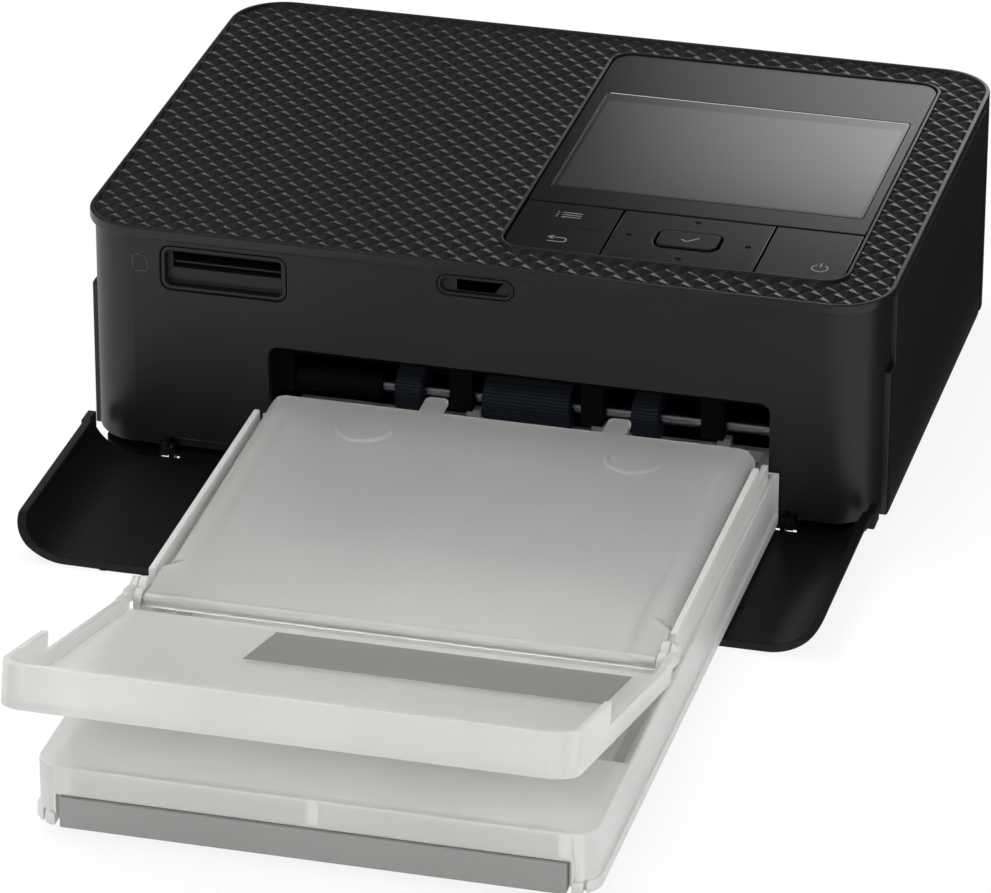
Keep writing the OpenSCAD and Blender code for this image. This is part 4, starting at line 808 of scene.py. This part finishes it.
def sign(name, material, body, strokes):
    """Join the strokes of one sign to one piece."""
    only(strokes[0])
    for stroke in strokes:
        stroke.select_set(True)
    bpy.ops.object.transform_apply(location=True, rotation=True, scale=True)
    bpy.ops.object.join()
    piece = bpy.context.object
    settle(piece)
    finish(piece, name, material, body)


print("two kinds of stroke")

# %% [markdown]
# The signs ride on the keys that carry them, so a pressed key takes its sign along. They stand
# 0.03 mm proud, as pad printed ink does. Their places are in mm, as everywhere.

# %% Signs on the keys
def ink_height(key):
    """The middle of the ink's thickness on a key, in mm."""
    return 1000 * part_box(key)[1].z + 0.01


def key_sign(name, key, strokes):
    """A printed sign that rides on its key."""
    sign(name, key_ink, nodes[key]["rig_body"], strokes)


FINE, MEDIUM, BOLD = 0.32, 0.34, 0.4  # mm: widths of the strokes
LIST_ROWS = (-33.3, -34.45, -35.6)
UPPER, LOWER, TURN_X = -46.5, -48.6, 14.9  # the return arrow's two bars, and where they turn
TURN_Y, TURN_RADIUS, HEAD = -47.55, 1.05, 0.9  # its bend, and half the width of its head
POWER_X, POWER_Y, POWER_RADIUS = 72.9, -47.6, 1.75

z = ink_height("menu_key")
key_sign("sign_list", "menu_key",
         [bar(11.9, y, 16.3, y, MEDIUM, z) for y in LIST_ROWS]
         + [bar(10.6, y, 11.1, y, MEDIUM, z) for y in LIST_ROWS])
key_sign("sign_return", "menu_key",
         [bar(12.2, UPPER, TURN_X, UPPER, FINE, z), bar(11.9, LOWER, TURN_X, LOWER, FINE, z),
          arc(TURN_X, TURN_Y, TURN_RADIUS, FINE, 90, 180, z),
          bar(11.7, UPPER, 12.9, UPPER + HEAD, FINE, z),
          bar(11.7, UPPER, 12.9, UPPER - HEAD, FINE, z)])
z = ink_height("ok_key")
key_sign("sign_tick", "ok_key",
         [bar(40.5, -41.1, 41.8, -42.2, BOLD, z), bar(41.7, -42.2, 44.3, -39.8, BOLD, z)])
z = ink_height("power_key")
key_sign("sign_power", "power_key",
         [arc(POWER_X, POWER_Y, POWER_RADIUS, MEDIUM, 60, 300, z),
          bar(POWER_X, -47.0, POWER_X, -44.9, MEDIUM, z)])

# %% [markdown]
# The sign beside the card slot is an outline of a memory card with one clipped corner. It is
# embossed, and painted a paler grey than the black round it as a painted glint, so it shows as a
# soft glint.

# %% Sign on the front
CARD_X0, CARD_X1, CARD_Z0, CARD_Z1, CLIP = -78.3, -74.9, 46.8, 50.8, 1.1  # mm
STROKE, RELIEF = 0.3, 0.00012  # the stroke's width in mm, its thickness in m

front_y = 1000 * (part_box("front_panel")[0].y - MIDDLE_Y)
corners = [(CARD_X0, CARD_Z0), (CARD_X1, CARD_Z0), (CARD_X1, CARD_Z1 - CLIP),
           (CARD_X1 - CLIP, CARD_Z1), (CARD_X0, CARD_Z1)]
strokes = []
for (x0, z0), (x1, z1) in zip(corners, corners[1:] + corners[:1]):
    bpy.ops.mesh.primitive_cube_add(size=1, location=at((x0 + x1) / 2, front_y, (z0 + z1) / 2))
    stroke = bpy.context.object
    stroke.scale = ((math.hypot(x1 - x0, z1 - z0) + STROKE) / 1000, RELIEF, STROKE / 1000)
    stroke.rotation_euler.y = -math.atan2(z1 - z0, x1 - x0)
    strokes.append(stroke)
# The sign's paler grey is a painted glint.
sign("sign_card", emboss_glint_grey, "printer", strokes)

# %% [markdown]
# ## Fluted feed rollers
# The three feed rollers have flutes along their axis, so that the rubber grips the edge of one
# sheet. A roller is a cylinder of forty sides, of which every second one is pushed in. A wide
# roller in the middle and two narrow ones stand on the shaft in the place of the plain ones.

# %% One feed roller
SIDES, RADIUS = 40, 0.005  # m
FLUTE_RIM, FLUTE_FLOOR = 0.0001, 0.93  # m from the side's edge; share of the radius
roller_low, roller_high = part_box("pickup_rollers")
axis_place = (roller_low + roller_high) / 2


def fluted(middle_x, width):
    """One fluted roller on the feed shaft."""
    middle = Vector((middle_x / 1000, axis_place.y, axis_place.z))
    bpy.ops.mesh.primitive_cylinder_add(vertices=SIDES, radius=RADIUS, depth=width / 1000,
                                        location=middle, rotation=(0, math.radians(90), 0))
    wheel = bpy.context.object
    apply_place(wheel)

    def every_second(place, normal):
        """Every second of the sides, told by its angle round the axis."""
        turn = math.degrees(math.atan2(normal.z, normal.y)) % 360
        return abs(normal.x) < 0.5 and int(turn / (360 / SIDES) + 0.5) % 2 == 0

    edit(wheel)
    pick(wheel, "FACE", every_second)
    bpy.ops.mesh.inset(thickness=FLUTE_RIM, use_individual=True)
    bpy.ops.transform.resize(value=(1, FLUTE_FLOOR, FLUTE_FLOOR), center_override=middle)
    settle(wheel, 25)
    return wheel


print("rollers span", [round(1000 * v, 2) for v in roller_high - roller_low])

# %% Three feed rollers
WIDE, NARROW, APART = 19.8, 6, 26.9  # mm: their widths, and how far the narrow ones stand off

wheels = [fluted(MID_X, WIDE), fluted(MID_X - APART, NARROW), fluted(MID_X + APART, NARROW)]
only(wheels[0])
for wheel in wheels:
    wheel.select_set(True)
bpy.ops.object.join()
rollers = finish(bpy.context.object, "feed_rollers_fluted", navy_rubber,
                 nodes["pickup_rollers"]["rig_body"])
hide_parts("pickup_rollers")

# %% [markdown]
# ## Painted shade under the front
# Between the body and the open cover the eye looks under the printer, into the shadow there. A low
# block in the darkest black is put in as painted shade, to stand for that shadow; it has notches
# for the hinge lugs of the cover and room for the feet. It is a block with round front corners, cut
# out by three smaller blocks.

# %% Painted shade under the front
SHADE_SILL_X, SHADE_SILL_FRONT, SHADE_SILL_BACK = 87.5, -66.2, -38.0  # mm: half its width, and its place
SHADE_SILL_LOW, SHADE_SILL_HIGH = 0.6, 2.4  # mm above the table
INSIDE_X, INSIDE_FRONT = 79.3, -56.0  # mm: what is cut out behind it
NOTCH_NEAR, NOTCH_FAR, NOTCH_BACK = 49.0, 73.0, -63.3  # mm: the room for a lug, on both sides
SHADE_SILL_ROUND, SHADE_SILL_EDGE = 9.0, 0.0002  # mm for the corners, m for the edges

# A dark block put where there is only shadow: painted shade.
shade_sill = rounded_slab(at(-SHADE_SILL_X, SHADE_SILL_FRONT, SHADE_SILL_LOW), at(SHADE_SILL_X, SHADE_SILL_BACK, SHADE_SILL_HIGH),
                    SHADE_SILL_ROUND)
cut(shade_sill, slab(at(-INSIDE_X, INSIDE_FRONT, 0), at(INSIDE_X, -30, 3)), "DIFFERENCE")
for x0, x1 in ((-NOTCH_FAR, -NOTCH_NEAR), (NOTCH_NEAR, NOTCH_FAR)):
    cut(shade_sill, slab(at(x0, -68, 0), at(x1, NOTCH_BACK, 3)), "DIFFERENCE")
modifier(shade_sill, "BEVEL", width=SHADE_SILL_EDGE, segments=2, limit_method="ANGLE",
         angle_limit=math.radians(40))
settle(shade_sill)
finish(shade_sill, "front_shade_sill", inner_and_shade_abs, "printer")

# %% [markdown]
# ## Painted shade in the flap
# A grey film is laid on the flap's floor over its recess, as painted shade for the darker patch
# that shows through the frosted floor there. It is modelled flat, in the flap's own measures from
# its hinge, and then tilted with it by fifteen degrees.

# %% Film in the flap, painted shade
HINGE_Y, HINGE_Z, FLAP_TILT = -162.4, 21.3, -15  # mm, mm and degrees
FILM_LOW, FILM_HIGH = (MID_X - 24.0, -35.5, -3.45), (MID_X + 51.5, -10.5, -3.36)  # mm
FILM_ROUND = 3.8  # mm
ZERO = at(0, 0, 0)

# The film is painted shade: a grey sheet where the frosted floor looks darker.
film = rounded_slab(at(*FILM_LOW) - ZERO, at(*FILM_HIGH) - ZERO, FILM_ROUND, 5)
film.location = at(0, HINGE_Y, HINGE_Z)
film.rotation_euler.x = math.radians(FLAP_TILT)
settle(film)
finish(film, "flap_shade_sheet", flap_shade_grey, nodes["tray_flap"]["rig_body"])
